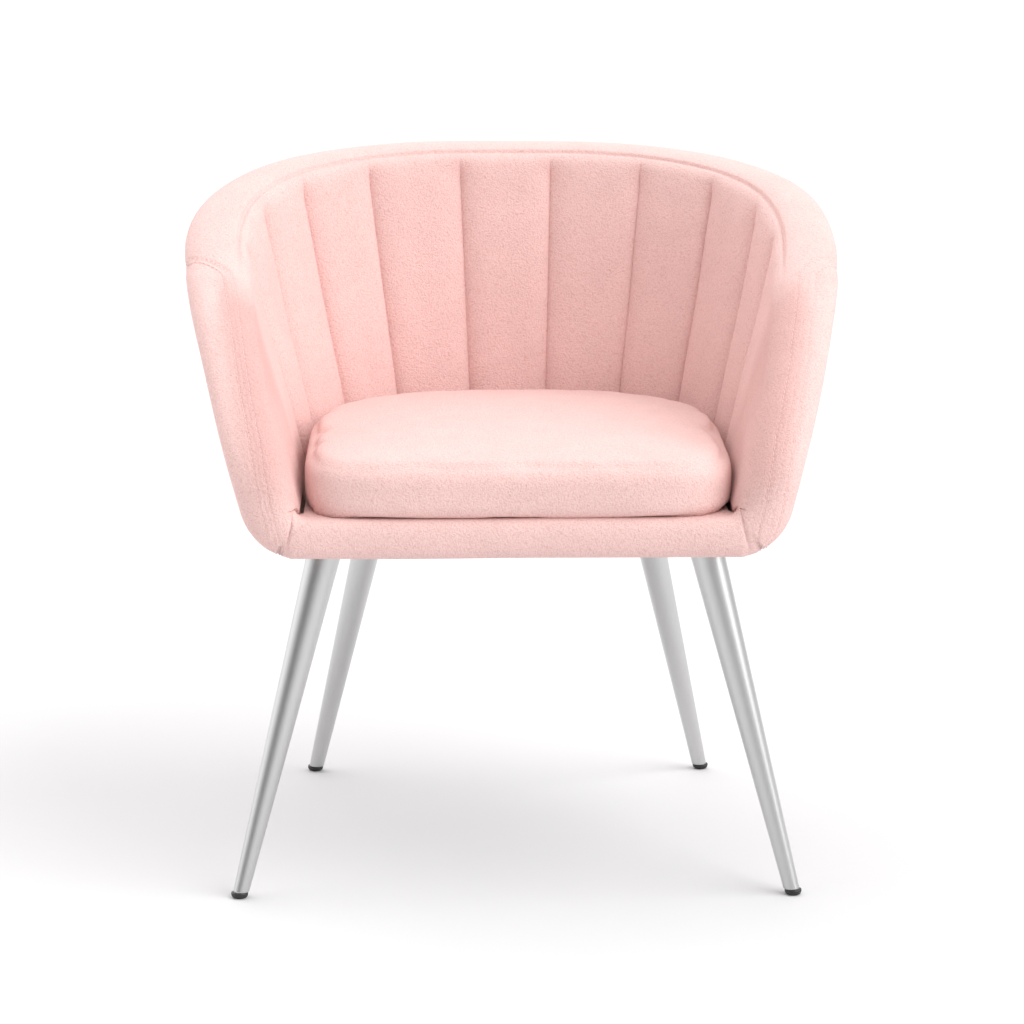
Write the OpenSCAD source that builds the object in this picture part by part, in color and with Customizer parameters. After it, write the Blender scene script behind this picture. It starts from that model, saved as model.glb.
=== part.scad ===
// Upholstered tub armchair on four splayed tapered legs.
// The origin is on the floor, midway across the width and the depth. The sitter
// faces -Y, so the sitter's left hand is towards +X.

/* [Shell] */
// Height of the underside of the upholstery
base_z = 354; // [330:1:400]
// Half of the shell's width at its underside
base_half_w = 272.8; // [250:0.1:300]
// How far each side leans out, per millimetre of height
side_flare = 0.263; // [0.15:0.001:0.3]
// Depth of the curved back at the underside, from the line where it meets the arms
base_back_d = 264.5; // [240:0.1:290]
// How far the back leans, per millimetre of height
back_lean = 0.20; // [0.1:0.01:0.25]
// Where the curved back meets the straight arms
arm_start_y = -45; // [-80:1:-20]
// The foremost face of the arms and the front rail
front_y = -287; // [-310:1:-270]
// How much the arms close in towards their front ends
toe_in = 13; // [0:1:20]
// Squareness of the back's plan curve: 2 is an ellipse
plan_power = 2.43; // [2.1:0.01:3]
// Radius of the lower outer edge of the upholstery
edge_r = 46; // [30:1:55]

/* [Rim] */
// Height of the rim at the middle of the back
rim_z = 710; // [690:1:730]
// Slope of the rim as it leaves the middle of the back
rim_slope = 0.142; // [0:0.001:0.2]
// How much that slope steepens with each metre
rim_sweep = 0.389; // [0.2:0.001:0.5]
// Where the rim begins to turn down at the arm front
knee_y = -74; // [-120:1:-60]
// Roundness of that turn: 2 is an ellipse
knee_power = 2.52; // [2:0.01:3]
// Height where the arm front becomes upright
arm_front_z = 415; // [400:1:430]
// Thickness of the padded wall
wall_t = 66; // [60:1:72]
// Height of the rounded roll along the rim
roll_h = 22; // [18:1:24]
// How far the rim cover reaches down the outside
rim_skirt = 46; // [40:1:60]

/* [Layers] */
// Thickness of the fabric covers
cloth = 1.5; // [1.2:0.1:1.8]
// Gap left between neighbouring layers
gap = 0.3; // [0.3:0.05:0.4]
// Distance from the outer skin to the outer face of the wooden frame
frame_in = 20; // [19:1:22]
// Thickness of the wooden uprights and rails
frame_t = 22; // [18:1:22]
// Width of the rails, measured down from the roll
rail_h = 34; // [30:1:40]
// Thickness of the bent lining board
lining_t = 3.2; // [2:0.1:3.5]

/* [Seat] */
// Thickness of each of the two plies of the seat board
ply_t = 9; // [6:1:9]
// Height of the top of the seat deck's cover
deck_z = 394; // [391:0.1:396]
// Half of the cushion's width
cushion_half_w = 216; // [205:1:216]
// Rearmost line of the cushion
cushion_back_y = 157; // [140:1:158]
// Foremost line of the cushion
cushion_front_y = -283; // [-286:1:-270]
// Height of the cushion's upper edge
cushion_edge_z = 455; // [440:1:465]
// How far the cushion's middle stands above its edge
cushion_crown = 20; // [5:1:30]
// Length of the zip under the cushion
zip_l = 300; // [200:1:320]
// Line of the zip, near the back of the cushion's underside
zip_y = 60; // [0:1:80]

/* [Legs] */
// Radius of a leg where it meets its plate
leg_top_r = 17.6; // [15:0.1:18]
// Radius of a leg at the floor
leg_foot_r = 7.8; // [7:0.1:10]
// Wall of the leg tube
leg_wall = 1.6; // [1:0.1:2]
// Front leg at its plate, from the middle
front_top = [191, -207];
// Front foot
front_foot = [281, -265];
// Rear leg at its plate
rear_top = [140, 112];
// Rear foot
rear_foot = [220, 197];
// Height of the plastic glides
glide_h = 6; // [5:1:12]

/* [Hidden] */
$fn = 48;

fabric_colour = [0.89, 0.76, 0.74];
wood_colour = [0.82, 0.69, 0.50];
foam_colour = [0.95, 0.92, 0.80];
steel_colour = [0.72, 0.72, 0.73];
black = [0.07, 0.07, 0.07];

// How far a cutting shape runs past the face that it cuts
cut = 1;
board_z = base_z + 4;
board_top = board_z + 2 * ply_t;
plate_t = 3;
plate_half = 27;
plate_chamfer = 10;
bolt_reach = 17.5;
bolt_r = 3;
bolt_head_r = 5;
bolt_head_t = 2;
rim_depth_y = 285;
// Extra room between layers that curl with facets of different lengths
facet_ease = 0.8;
// Half the length of the padded rail between the arms
rail_cover_half_l = 205;
back_steps = 12;
front_steps = 8;
upright_steps = 6;
knee_col = back_steps + 1;
brow_col = knee_col + front_steps;
last_col = brow_col + upright_steps;

// --- The shell as a surface -------------------------------------------------

// Half width and back depth of the outer skin at height z
function half_w(z) = base_half_w + side_flare * (z - base_z);
function back_d(z) = base_back_d + back_lean * (z - base_z);

// The skin's inward curl along the lower edge
function curl(z) =
    let (drop = max(0, edge_r - (z - base_z)))
    edge_r - sqrt(max(0, edge_r * edge_r - drop * drop));

// Plan position on the curved back: a is 0 at the middle and 90 at the arm
function back_x(a, z, o) = (half_w(z) - o) * pow(sin(a), 2 / plan_power);
function back_y(a, z, o) = arm_start_y + (back_d(z) - o) * pow(max(0, cos(a)), 2 / plan_power);
function toe(y) = toe_in * pow(max(0, (arm_start_y - y) / (arm_start_y - front_y)), 1.5);

// Half width of an arm, o in from the skin. Only its outer side closes in.
function arm_x(y, z, o) = half_w(z) - o - toe(y) * (1 - o / wall_t);

// A point of the wall: side is 1 or -1, o is the distance in from the skin
function wall_pt(side, a, y, z, o) =
    a < 90
        ? [side * back_x(a, z, o), back_y(a, z, o), z]
        : [side * arm_x(y, z, o), y, z];

// Height of the rim above plan position y, before it turns down
function rim_line(y) =
    let (d = max(0, rim_depth_y - y))
    rim_z - rim_slope * d - rim_sweep / 1000 * d * d;

// Height of a line d below the rim, on the curved back
function back_rim(a, d, z = 640, n = 6) =
    n == 0 ? z : back_rim(a, d, rim_line(back_y(a, z, 0)) - d, n - 1);

// Column k of a line d in from the rim: [angle, y, z]. Columns run from the
// middle of the back to the knee, over the knee and down the arm front to foot_z.
function column(k, d, foot_z) =
    k <= back_steps
        ? [90 * k / back_steps, arm_start_y, back_rim(90 * k / back_steps, d)]
        : k <= brow_col
            ? knee_column(90 * (k - knee_col) / front_steps, d)
            : [90, front_y + d, foot_height(k - brow_col, foot_z)];

// Heights of the last columns: evenly round the curled lower edge, down to foot_z
function foot_height(m, foot_z) =
    foot_z + (base_z + edge_r - foot_z) * (1 - cos(90 * (upright_steps - m) / (upright_steps - 1)));

function knee_column(f, d) =
    let (
        y = knee_y - (knee_y - front_y - d) * pow(max(0, sin(f)), 2 / knee_power),
        top = rim_line(y) - d
    )
    [90, y, top - (top - arm_front_z) * (1 - pow(max(0, cos(f)), 2 / knee_power))];

function sgn(k) = k < 0 ? -1 : 1;

// Column k and section point s = [distance in, depth below the rim] in space.
// A curled strip draws its outer side in along the lower edge.
function rim_pt(k, s, foot_z, curled) =
    let (
        c = column(abs(k), s[1], foot_z),
        bend = curled ? curl(c[2]) * max(0, 1 - s[0] / wall_t) : 0
    )
    wall_pt(sgn(k), c[0], c[1], c[2], s[0] + bend);

// --- Solids between two grids of points ---------------------------------------

function flat(grid) = [for (row = grid) for (p = row) p];

function quad(a, b, c, d) = [[a, b, c], [a, c, d]];

// Closed solid between grids of the same size, each a list of columns
module between(outer, inner) {
    cols = len(outer);
    rows = len(outer[0]);
    n = cols * rows;
    faces = [
        for (i = [0 : cols - 2], j = [0 : rows - 2])
            each quad(i * rows + j, (i + 1) * rows + j, (i + 1) * rows + j + 1, i * rows + j + 1),
        for (i = [0 : cols - 2], j = [0 : rows - 2])
            each quad(n + i * rows + j, n + i * rows + j + 1,
                      n + (i + 1) * rows + j + 1, n + (i + 1) * rows + j),
        for (i = [0 : cols - 2])
            each quad(i * rows, n + i * rows, n + (i + 1) * rows, (i + 1) * rows),
        for (i = [0 : cols - 2])
            each quad(i * rows + rows - 1, (i + 1) * rows + rows - 1,
                      n + (i + 1) * rows + rows - 1, n + i * rows + rows - 1),
        for (j = [0 : rows - 2])
            each quad(j, j + 1, n + j + 1, n + j),
        for (j = [0 : rows - 2])
            each quad((cols - 1) * rows + j, n + (cols - 1) * rows + j,
                      n + (cols - 1) * rows + j + 1, (cols - 1) * rows + j + 1)
    ];
    polyhedron(points = concat(flat(outer), flat(inner)), faces = faces, convexity = 6);
}

// A strip that follows the rim from column k0 to k1, between two section lines
module rim_strip(k0, k1, outer, inner, foot_z, curled = false) {
    between(
        [for (k = [k0 : k1]) [for (s = outer) rim_pt(k, s, foot_z, curled)]],
        [for (k = [k0 : k1]) [for (s = inner) rim_pt(k, s, foot_z, curled)]]
    );
}

// A layer of the wall from height z0 up to d below the rim. The outer face can
// curl in along the lower edge.
module wall_layer(d, z0, o_out, o_in, heights, curled = false, curled_in = false) {
    function layer_pt(k, h, o, bend) =
        let (
            c = column(abs(k), d, z0),
            z = h < 0 ? z0 - h : z0 + max(0, c[2] - z0) * h
        )
        wall_pt(sgn(k), c[0], c[1], z, o + (bend ? curl(z) : 0));
    between(
        [for (k = [-brow_col : brow_col]) [for (h = heights) layer_pt(k, h, o_out, curled)]],
        [for (k = [-brow_col : brow_col]) [for (h = heights) layer_pt(k, h, o_in, curled_in)]]
    );
}

// Plan outline of the shell at height z, o in from the skin, closed at front y
function outline(z, o, y_front) = concat(
    [[-arm_x(y_front, z, o), y_front]],
    [for (k = [-back_steps : back_steps])
        [sgn(k) * back_x(abs(k) * 90 / back_steps, z, o), back_y(abs(k) * 90 / back_steps, z, o)]],
    [[arm_x(y_front, z, o), y_front]]
);

module slab(z0, t, points) {
    translate([0, 0, z0])
        linear_extrude(t)
            polygon(points);
}

// --- Wooden frame -------------------------------------------------------------

// Places of the uprights round the back, as plan angles, and half the angle each spans
upright_angles = [0, 30, 58, 80];
upright_half = 4;
// The uprights stand a little behind the rails, clear of the bent lining
upright_inset = 1.5;
// Clearance round a screw, bolt or nut in its hole
fit = 0.2;
screw_r = 2;
screw_head_r = 3.6;
screw_head_t = 2.2;
screw_head_z = board_z + 1;
screw_top = board_top + 15;
// How far in from the skin the screws stand
screw_in = frame_in + 17;
post_y = front_y + roll_h + rail_h / 2;

module at_upright(a, side) {
    translate([side * back_x(a, board_top, screw_in), back_y(a, board_top, screw_in), 0])
        children();
}

module at_arm_post(side) {
    translate([side * arm_x(post_y, board_top, screw_in), post_y, 0])
        children();
}

module at_each_screw() {
    for (a = upright_angles, side = a == 0 ? [1] : [-1, 1])
        at_upright(a, side)
            children();
    for (side = [-1, 1])
        at_arm_post(side)
            children();
}

// Pilot hole for a screw that comes up out of the board
module pilot() {
    translate([0, 0, board_top - cut])
        cylinder(h = screw_top - board_top + 1.5 * cut, r = screw_r);
}

module at_each_leg() {
    for (side = [-1, 1]) {
        translate([side * front_top[0], front_top[1], 0]) children();
        translate([side * rear_top[0], rear_top[1], 0]) children();
    }
}

module at_each_bolt() {
    at_each_leg()
        for (i = [-1, 1], j = [-1, 1])
            translate([i * bolt_reach, j * bolt_reach, 0])
                children();
}

nut_r = 4.2;
nut_l = 10;
nut_flange_r = 8.5;
nut_flange_t = 1.4;

// How far the upper ply's front edge stands behind the skin. Its corners are
// notched, for the padded fronts of the arms.
board_front = 15;
arm_mid_x = rail_cover_half_l + wall_t;
// How far in from the skin each ply's edge lies
lower_ply_in = 30;
upper_ply_in = 17;

// Two plies: the lower one is smaller, to follow the curled lower edge
module seat_board() {
    color(wood_colour)
        difference() {
            union() {
                slab(board_z, ply_t, outline(board_z, lower_ply_in, front_y + rail_pad_t + 1));
                slab(board_z + ply_t, ply_t,
                     outline(board_z + ply_t, upper_ply_in, front_y + board_front));
            }
            at_each_bolt()
                translate([0, 0, board_z - cut])
                    cylinder(h = 2 * ply_t + 2 * cut, r = nut_r);
            at_each_bolt()
                translate([0, 0, board_top - nut_flange_t])
                    cylinder(h = 2 * nut_flange_t, r = nut_flange_r + gap);
            for (side = [-1, 1])
                translate([side * arm_mid_x - wall_t, front_y, board_z - cut])
                    cube([2 * wall_t, roll_h + 2 * gap, 2 * ply_t + 2 * cut]);
            at_each_screw()
                translate([0, 0, board_z - cut]) {
                    cylinder(h = 2 * ply_t + 2 * cut, r = screw_r);
                    cylinder(h = screw_head_z + screw_head_t - board_z + cut, r = screw_head_r + fit);
                }
        }
}

// A stick that leans with the wall, from the board up to the back rail
module upright(a, side) {
    angles = [side * a - upright_half, side * a, side * a + upright_half];
    function stick_face(o) = [
        for (b = angles)
            [for (top = [false, true])
                wall_pt(sgn(b), abs(b), 0,
                        top ? back_rim(abs(b), roll_h + rail_h + 2 * gap) : board_top, o)]
    ];
    color(wood_colour)
        difference() {
            between(stick_face(frame_in + upright_inset), stick_face(frame_in + frame_t));
            at_upright(a, side)
                pilot();
        }
}

// The back rail spans this many columns each side of the middle
rail_cols = 10;
rail_out = [[frame_in, roll_h + gap], [frame_in, roll_h + rail_h]];
rail_in = [[frame_in + frame_t, roll_h + gap], [frame_in + frame_t, roll_h + rail_h]];

module back_rail() {
    color(wood_colour)
        rim_strip(-rail_cols, rail_cols, rail_out, rail_in, board_top);
}

// The arm rail runs forward from the back rail and turns down into the front post
module arm_rail(side) {
    color(wood_colour)
        difference() {
            if (side > 0)
                rim_strip(rail_cols, last_col, rail_out, rail_in, board_top);
            else
                rim_strip(-last_col, -rail_cols, rail_out, rail_in, board_top);
            at_arm_post(side)
                pilot();
        }
}

// The front rail stands behind its padding
rail_half_l = 204;
rail_pad_t = 25;
front_rail_t = 18;

module front_rail() {
    color(wood_colour)
        translate([-rail_half_l, front_y + rail_pad_t, board_top])
            cube([2 * rail_half_l, front_rail_t, deck_z - cloth - gap - board_top]);
}

module frame_screws() {
    color(steel_colour)
        at_each_screw() {
            translate([0, 0, screw_head_z])
                cylinder(h = screw_head_t, r = screw_head_r);
            translate([0, 0, screw_head_z + screw_head_t / 2])
                cylinder(h = screw_top - screw_head_z - screw_head_t / 2, r = screw_r - 0.05);
        }
}

// --- Wall upholstery -------------------------------------------------------------

curl_rows = [for (f = [0, 12, 24, 38, 54, 72, 90]) -edge_r * (1 - cos(f)) - 0.001];
upper_rows = [0.3, 0.48, 0.66, 0.84, 1];

module outer_lining() {
    color([0.62, 0.48, 0.33])
        wall_layer(roll_h + rail_h, board_top + 1, frame_in - gap - lining_t, frame_in - gap,
                   [0, 0.25, 0.5, 0.75, 1]);
}

module outer_foam() {
    color(foam_colour)
        wall_layer(roll_h + gap, board_top + gap, cloth + gap + facet_ease,
                   frame_in - 2 * gap - lining_t,
                   [0, 0.06, 0.12, 0.3, 0.55, 0.8, 1], true, false);
}

module outer_cover() {
    color(fabric_colour)
        wall_layer(rim_skirt + gap, base_z, 0, cloth, concat(curl_rows, upper_rows), true, true);
}

webbing_in = frame_in + frame_t + gap;
webbing_t = 2;
inner_foam_in = webbing_in + webbing_t + gap;

// Lower edges of the three bands, and their width
band_z = [418, 482, 546];
band_w = 50;

// Three elastic bands across the inside of the uprights
module back_support_webbing() {
    function band_face(z, o) = [
        for (k = [-back_steps : back_steps])
            [for (h = [0, band_w])
                wall_pt(sgn(k), min(89.9, abs(k) * 90 / back_steps), 0, z + h, o)]
    ];
    color([0.20, 0.20, 0.22])
        for (z = band_z)
            between(band_face(z, webbing_in), band_face(z, webbing_in + webbing_t));
}

module inner_foam() {
    color(foam_colour)
        wall_layer(roll_h + gap, board_top + gap, inner_foam_in, wall_t - cloth - gap,
                   [0, 0.2, 0.4, 0.6, 0.8, 1]);
}

// How far the inner cover reaches down past the deck's surface
inner_tuck = 14;

module inner_cover() {
    color(fabric_colour)
        wall_layer(roll_h + gap, deck_z - inner_tuck, wall_t - cloth, wall_t, [0, 0.2, 0.4, 0.6, 0.8, 1]);
}

// Section of the roll along the rim, e in from the skin, as [distance in, depth]
roll_steps = 8;
roll_power = 2.4;
function spow(v) = (v < 0 ? -1 : 1) * pow(abs(v), 2 / roll_power);
function roll_arc(e) = [
    for (i = [0 : roll_steps])
        let (f = 180 * i / roll_steps)
        [wall_t / 2 - (wall_t / 2 - e) * spow(cos(f)), roll_h - (roll_h - e) * spow(sin(f))]
];
function roll_floor(e) = [
    for (i = [0 : roll_steps])
        let (f = 180 * i / roll_steps)
        [wall_t / 2 - (wall_t / 2 - e) * spow(cos(f)), roll_h]
];

// Least thickness of the rim's foam, along its two edges
rim_foam_edge = 1;

module rim_foam() {
    outer = [for (p = roll_arc(cloth + gap)) [p[0], min(p[1], roll_h - rim_foam_edge)]];
    color(foam_colour)
        rim_strip(-last_col, last_col, outer, roll_floor(cloth + gap), base_z, true);
}

module rim_cover() {
    color(fabric_colour)
        rim_strip(-last_col, last_col,
                  concat([[0, rim_skirt]], roll_arc(0)),
                  concat([[cloth, rim_skirt]], roll_arc(cloth)), base_z, true);
}

// --- Front rail and deck -------------------------------------------------------------

// Rounding of the padded rail's front edges
rail_round = 14;
rail_depth = rail_pad_t - 1;

// Section of the padded rail, e in from its skin
module rail_section(e) {
    x0 = front_y + e;
    x1 = front_y + rail_depth - e;
    z0 = base_z + e;
    z1 = deck_z - e;
    r = rail_round - e;
    intersection() {
        union() {
            translate([x0 + r, z0]) square([x1 - x0 - r, z1 - z0]);
            translate([x0, z0 + r]) square([x1 - x0, z1 - z0 - 2 * r]);
            translate([x0 + r, z0 + r]) circle(r);
            translate([x0 + r, z1 - r]) circle(r);
        }
        translate([x0, z0]) square([x1 - x0, z1 - z0]);
    }
}

module along_x(half) {
    translate([-half, 0, 0])
        rotate([90, 0, 90])
            linear_extrude(2 * half)
                children();
}

// The pad in front of the board and the front rail
module front_rail_foam() {
    color(foam_colour)
        difference() {
            along_x(rail_cover_half_l)
                rail_section(cloth + gap);
            translate([-base_half_w, front_y + board_front - gap, board_z + ply_t - gap])
                cube([2 * base_half_w, rail_pad_t, ply_t + gap]);
        }
}

module front_rail_cover() {
    color(fabric_colour)
        difference() {
            along_x(rail_cover_half_l)
                rail_section(0);
            along_x(rail_cover_half_l + cut)
                rail_section(cloth);
            translate([-base_half_w, front_y + rail_depth - cloth - gap, base_z - cut])
                cube([2 * base_half_w, rail_depth, rail_depth + deck_z - base_z]);
        }
}

deck_in = wall_t + 0.5;

module deck_foam() {
    color(foam_colour)
        slab(board_top + nut_flange_t + gap, deck_z - cloth - 2 * gap - board_top - nut_flange_t,
             outline(board_top, deck_in, front_y + rail_pad_t + front_rail_t + gap));
}

module deck_cover() {
    color(fabric_colour)
        slab(deck_z - cloth, cloth, outline(board_top, deck_in, front_y + rail_pad_t));
}

dust_t = 0.8;
dust_z = board_z - 1;
dust_in = edge_r + 4;
// Room round each leg's plate in the dust cover
plate_gap = 1;

module dust_cover() {
    color(black)
        difference() {
            slab(dust_z, dust_t, outline(base_z, dust_in, front_y + rail_pad_t + 3));
            at_each_leg()
                translate([-plate_half - plate_gap, -plate_half - plate_gap, dust_z - cut])
                    cube([2 * (plate_half + plate_gap), 2 * (plate_half + plate_gap), dust_t + 2 * cut]);
        }
}

staple_w = 10;
staple_t = 0.8;
// Distance of the staples from the cloth's edge, and between staples on the straight edges
staple_in = 6;
staple_pitch = 30;
staple_reach = 150;
// Plan angles of the staples round the back, clear of the rear legs' plates
staple_angles = [0, 13, 26, 60, 72, 84];

module dust_cover_staples() {
    edge_x = half_w(base_z) - dust_in - staple_in;
    color(steel_colour)
        translate([0, 0, dust_z - staple_t]) {
            for (side = [-1, 1], y = [-staple_reach : staple_pitch : -2 * staple_pitch])
                translate([side * (edge_x - toe(y)) - staple_t / 2, y, 0])
                    cube([staple_t, staple_w, staple_t]);
            for (x = [-staple_reach : staple_pitch : staple_reach])
                translate([x - staple_w / 2, front_y + rail_pad_t + 3 + staple_in, 0])
                    cube([staple_w, staple_t, staple_t]);
            for (a = staple_angles, side = a == 0 ? [1] : [-1, 1])
                translate([side * back_x(a, base_z, dust_in + staple_in),
                           back_y(a, base_z, dust_in + staple_in), 0])
                    rotate([0, 0, -side * a])
                        translate([-staple_w / 2, 0, 0])
                            cube([staple_w, staple_t, staple_t]);
        }
}

// --- Seat cushion -------------------------------------------------------------

cushion_z = deck_z + 0.4;
cushion_mid_y = arm_start_y;
cushion_steps = 20;
corner_power = 7;
crown_centre = [0, -60];
// Rounding of the cushion's shoulder: inwards and down
shoulder_in = 8;
shoulder_h = 10;
// How far below the shoulder the side band's upper seam lies
band_drop = 12;
// Depth of the front, where the top panel falls over the edge
panel_depth = 26;
wadding_t = 9;
zip_slot_l = zip_l + 8;

// Plan outline, e in from the edge; m runs round from the middle of the back
function cushion_xy(m, e) =
    let (
        a = 180 * m / cushion_steps,
        back = cos(a) >= 0,
        n = back ? plan_power : corner_power,
        d = back ? cushion_back_y - cushion_mid_y : cushion_mid_y - cushion_front_y
    )
    [
        sgn(sin(a)) * (cushion_half_w - e) * pow(abs(sin(a)), 2 / n),
        cushion_mid_y + (back ? 1 : -1) * (d - e) * pow(abs(cos(a)), 2 / n)
    ];
function cushion_ring(e, z) =
    [for (m = [0 : 2 * cushion_steps - 1]) concat(cushion_xy(m, e), [z])];
function shrunk_ring(e, r, z) =
    [for (m = [0 : 2 * cushion_steps - 1])
        concat(crown_centre + r * (cushion_xy(m, e) - crown_centre), [z])];
function crown_z(r) = cushion_edge_z + cushion_crown * (1 - pow(r, 2.4));

// Closed solid through successive rings, with a point at each end
module rings(list, first, last) {
    n = len(list[0]);
    total = len(list) * n;
    faces = [
        for (m = [0 : n - 1]) [total, (m + 1) % n, m],
        for (i = [0 : len(list) - 2], m = [0 : n - 1])
            each quad(i * n + m, i * n + (m + 1) % n,
                      (i + 1) * n + (m + 1) % n, (i + 1) * n + m),
        for (m = [0 : n - 1])
            [total + 1, total - n + m, total - n + (m + 1) % n]
    ];
    polyhedron(points = concat(flat(list), [first, last]), faces = faces, convexity = 6);
}

wadding_top = cushion_z + wadding_t;

module cushion_core() {
    e = cloth + gap;
    color(foam_colour)
        rings(
            [
                cushion_ring(e + 3, wadding_top + gap),
                cushion_ring(e, wadding_top + 8),
                cushion_ring(e, cushion_edge_z - 14),
                cushion_ring(e + shoulder_in, cushion_edge_z - e),
                shrunk_ring(e, 0.8, crown_z(0.8) - e),
                shrunk_ring(e, 0.5, crown_z(0.5) - e),
                shrunk_ring(e, 0.2, crown_z(0.2) - e)
            ],
            concat(crown_centre, [wadding_top + gap]),
            concat(crown_centre, [crown_z(0) - e])
        );
}

module zip_slot(half_l, reach, z0, z1) {
    translate([-half_l, zip_y - reach, z0])
        cube([2 * half_l, 2 * reach, z1 - z0]);
}

module cushion_wadding() {
    color(foam_colour)
        difference() {
            slab(cushion_z + cloth + gap, wadding_top - cushion_z - cloth - gap,
                 [for (p = cushion_ring(cloth + gap, 0)) [p[0], p[1]]]);
            zip_slot(zip_slot_l / 2 + 4, 13, cushion_z, wadding_top + cut);
        }
}

module cushion_bottom_cover() {
    color(fabric_colour)
        difference() {
            slab(cushion_z, cloth, [for (p = cushion_ring(0.5, 0)) [p[0], p[1]]]);
            zip_slot(zip_slot_l / 2, 7, cushion_z - cut, cushion_z + cloth + cut);
        }
}

// Lower edge of the top panel: it falls over the front and stays high at the sides
function panel_edge(m) =
    let (front = cushion_xy(m, 0)[1] < cushion_front_y + panel_depth)
    front ? cushion_z + cloth + gap : cushion_edge_z - band_drop;

module cushion_top_cover() {
    n = 2 * cushion_steps;
    function hem(e) = [for (m = [0 : n - 1]) concat(cushion_xy(m, e), [panel_edge(m)])];
    color(fabric_colour)
        rings(
            [
                shrunk_ring(0, 0.2, crown_z(0.2)),
                shrunk_ring(0, 0.5, crown_z(0.5)),
                shrunk_ring(0, 0.8, crown_z(0.8)),
                cushion_ring(shoulder_in, cushion_edge_z),
                cushion_ring(0, cushion_edge_z - shoulder_h),
                hem(0),
                hem(cloth),
                cushion_ring(cloth, cushion_edge_z - shoulder_h),
                cushion_ring(shoulder_in + cloth, cushion_edge_z - cloth),
                shrunk_ring(0, 0.8, crown_z(0.8) - cloth),
                shrunk_ring(0, 0.5, crown_z(0.5) - cloth),
                shrunk_ring(0, 0.2, crown_z(0.2) - cloth)
            ],
            concat(crown_centre, [crown_z(0)]),
            concat(crown_centre, [crown_z(0) - cloth])
        );
}

// Band round the sides and the back, from one front corner to the other
module cushion_side_band() {
    cols = [for (m = [-cushion_steps : cushion_steps])
        if (cushion_xy(m, 0)[1] > cushion_front_y + panel_depth + 1) m];
    function band(e) = [for (m = cols)
        [for (z = [cushion_z + cloth + gap, cushion_edge_z - band_drop - gap])
            concat(cushion_xy(m, e), [z])]];
    color(fabric_colour)
        between(band(0), band(cloth));
}

// Half widths of the zip's tape and of its coil
tape_half_w = 11;
tape_t = 1;
coil_half_w = 2.5;
coil_t = 1.2;
tape_z = cushion_z + 6.4;

module zip_tape() {
    color(fabric_colour * 0.9) {
        zip_slot(zip_slot_l / 2, tape_half_w, tape_z, tape_z + tape_t);
        zip_slot(zip_l / 2, coil_half_w, tape_z - coil_t, tape_z);
    }
}

slider_l = 12;
slider_w = 6;
slider_h = 3;

module zip_slider() {
    color(steel_colour)
        translate([-zip_l / 2 + slider_l, zip_y, tape_z - coil_t - gap - slider_h]) {
            translate([-slider_l / 2, -slider_w / 2, 0])
                cube([slider_l * 0.75, slider_w, slider_h]);
            translate([slider_l / 4, 0, 0])
                cylinder(h = slider_h, r = slider_w / 2);
        }
}

// --- Legs -------------------------------------------------------------

plate_z = board_z - plate_t;
// Size of the blocks that trim a leg level at its ends, and how far it runs on into them
trim = 120;
over = 30;

// Puts its children on a leg's axis, with Z from the foot at the floor to the plate
module on_leg(top, foot, side) {
    dx = side * (top[0] - foot[0]);
    dy = top[1] - foot[1];
    translate([side * foot[0], foot[1], 0])
        rotate([0, 0, atan2(dy, dx)])
            rotate([0, atan2(sqrt(dx * dx + dy * dy), plate_z), 0])
                children();
}

module leg(top, foot, side) {
    axis_l = sqrt(pow(top[0] - foot[0], 2) + pow(top[1] - foot[1], 2) + plate_z * plate_z);
    taper = (leg_top_r - leg_foot_r) / axis_l;
    color(steel_colour)
        difference() {
            on_leg(top, foot, side)
                translate([0, 0, -over])
                    cylinder(h = axis_l + 2 * over, r1 = leg_foot_r - taper * over,
                             r2 = leg_top_r + taper * over);
            on_leg(top, foot, side)
                translate([0, 0, -over - cut])
                    cylinder(h = axis_l + 2 * (over + cut), r1 = leg_foot_r - leg_wall - taper * over,
                             r2 = leg_top_r - leg_wall + taper * over);
            translate([side * foot[0] - trim / 2, foot[1] - trim / 2, glide_h - trim])
                cube(trim);
            translate([side * top[0] - trim / 2, top[1] - trim / 2, plate_z])
                cube(trim);
        }
}

module leg_plate(middle, side) {
    color(steel_colour)
        translate([side * middle[0], middle[1], plate_z])
            difference() {
                linear_extrude(plate_t)
                    intersection() {
                        square(2 * plate_half, center = true);
                        rotate(45)
                            square(sqrt(2) * (2 * plate_half - plate_chamfer), center = true);
                    }
                for (i = [-1, 1], j = [-1, 1])
                    translate([i * bolt_reach, j * bolt_reach, -cut]) {
                        cylinder(h = plate_t + 2 * cut, r = bolt_r + gap);
                        cylinder(h = bolt_head_t + 1.1 * cut, r = bolt_head_r + fit);
                    }
            }
}

// Domed plastic glide with a flat underside and a plug up the tube
module glide(top, foot, side) {
    dome = 3;
    glide_r = leg_foot_r + 0.9;
    plug_l = 16;
    color(black) {
        translate([side * foot[0], foot[1], 0])
            rotate_extrude()
                union() {
                    square([glide_r - dome, glide_h]);
                    translate([0, dome]) square([glide_r, glide_h - dome]);
                    translate([glide_r - dome, dome]) circle(dome);
                }
        intersection() {
            on_leg(top, foot, side)
                cylinder(h = glide_h + plug_l, r = leg_foot_r - leg_wall - gap);
            translate([side * foot[0] - trim / 2, foot[1] - trim / 2, glide_h - cut])
                cube(trim);
        }
    }
}

module leg_bolts() {
    color(steel_colour)
        at_each_bolt() {
            translate([0, 0, plate_z])
                cylinder(h = bolt_head_t, r = bolt_head_r);
            translate([0, 0, plate_z + bolt_head_t / 2])
                cylinder(h = 2 * ply_t + plate_t - bolt_head_t, r = bolt_r - 0.05);
        }
}

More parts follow.
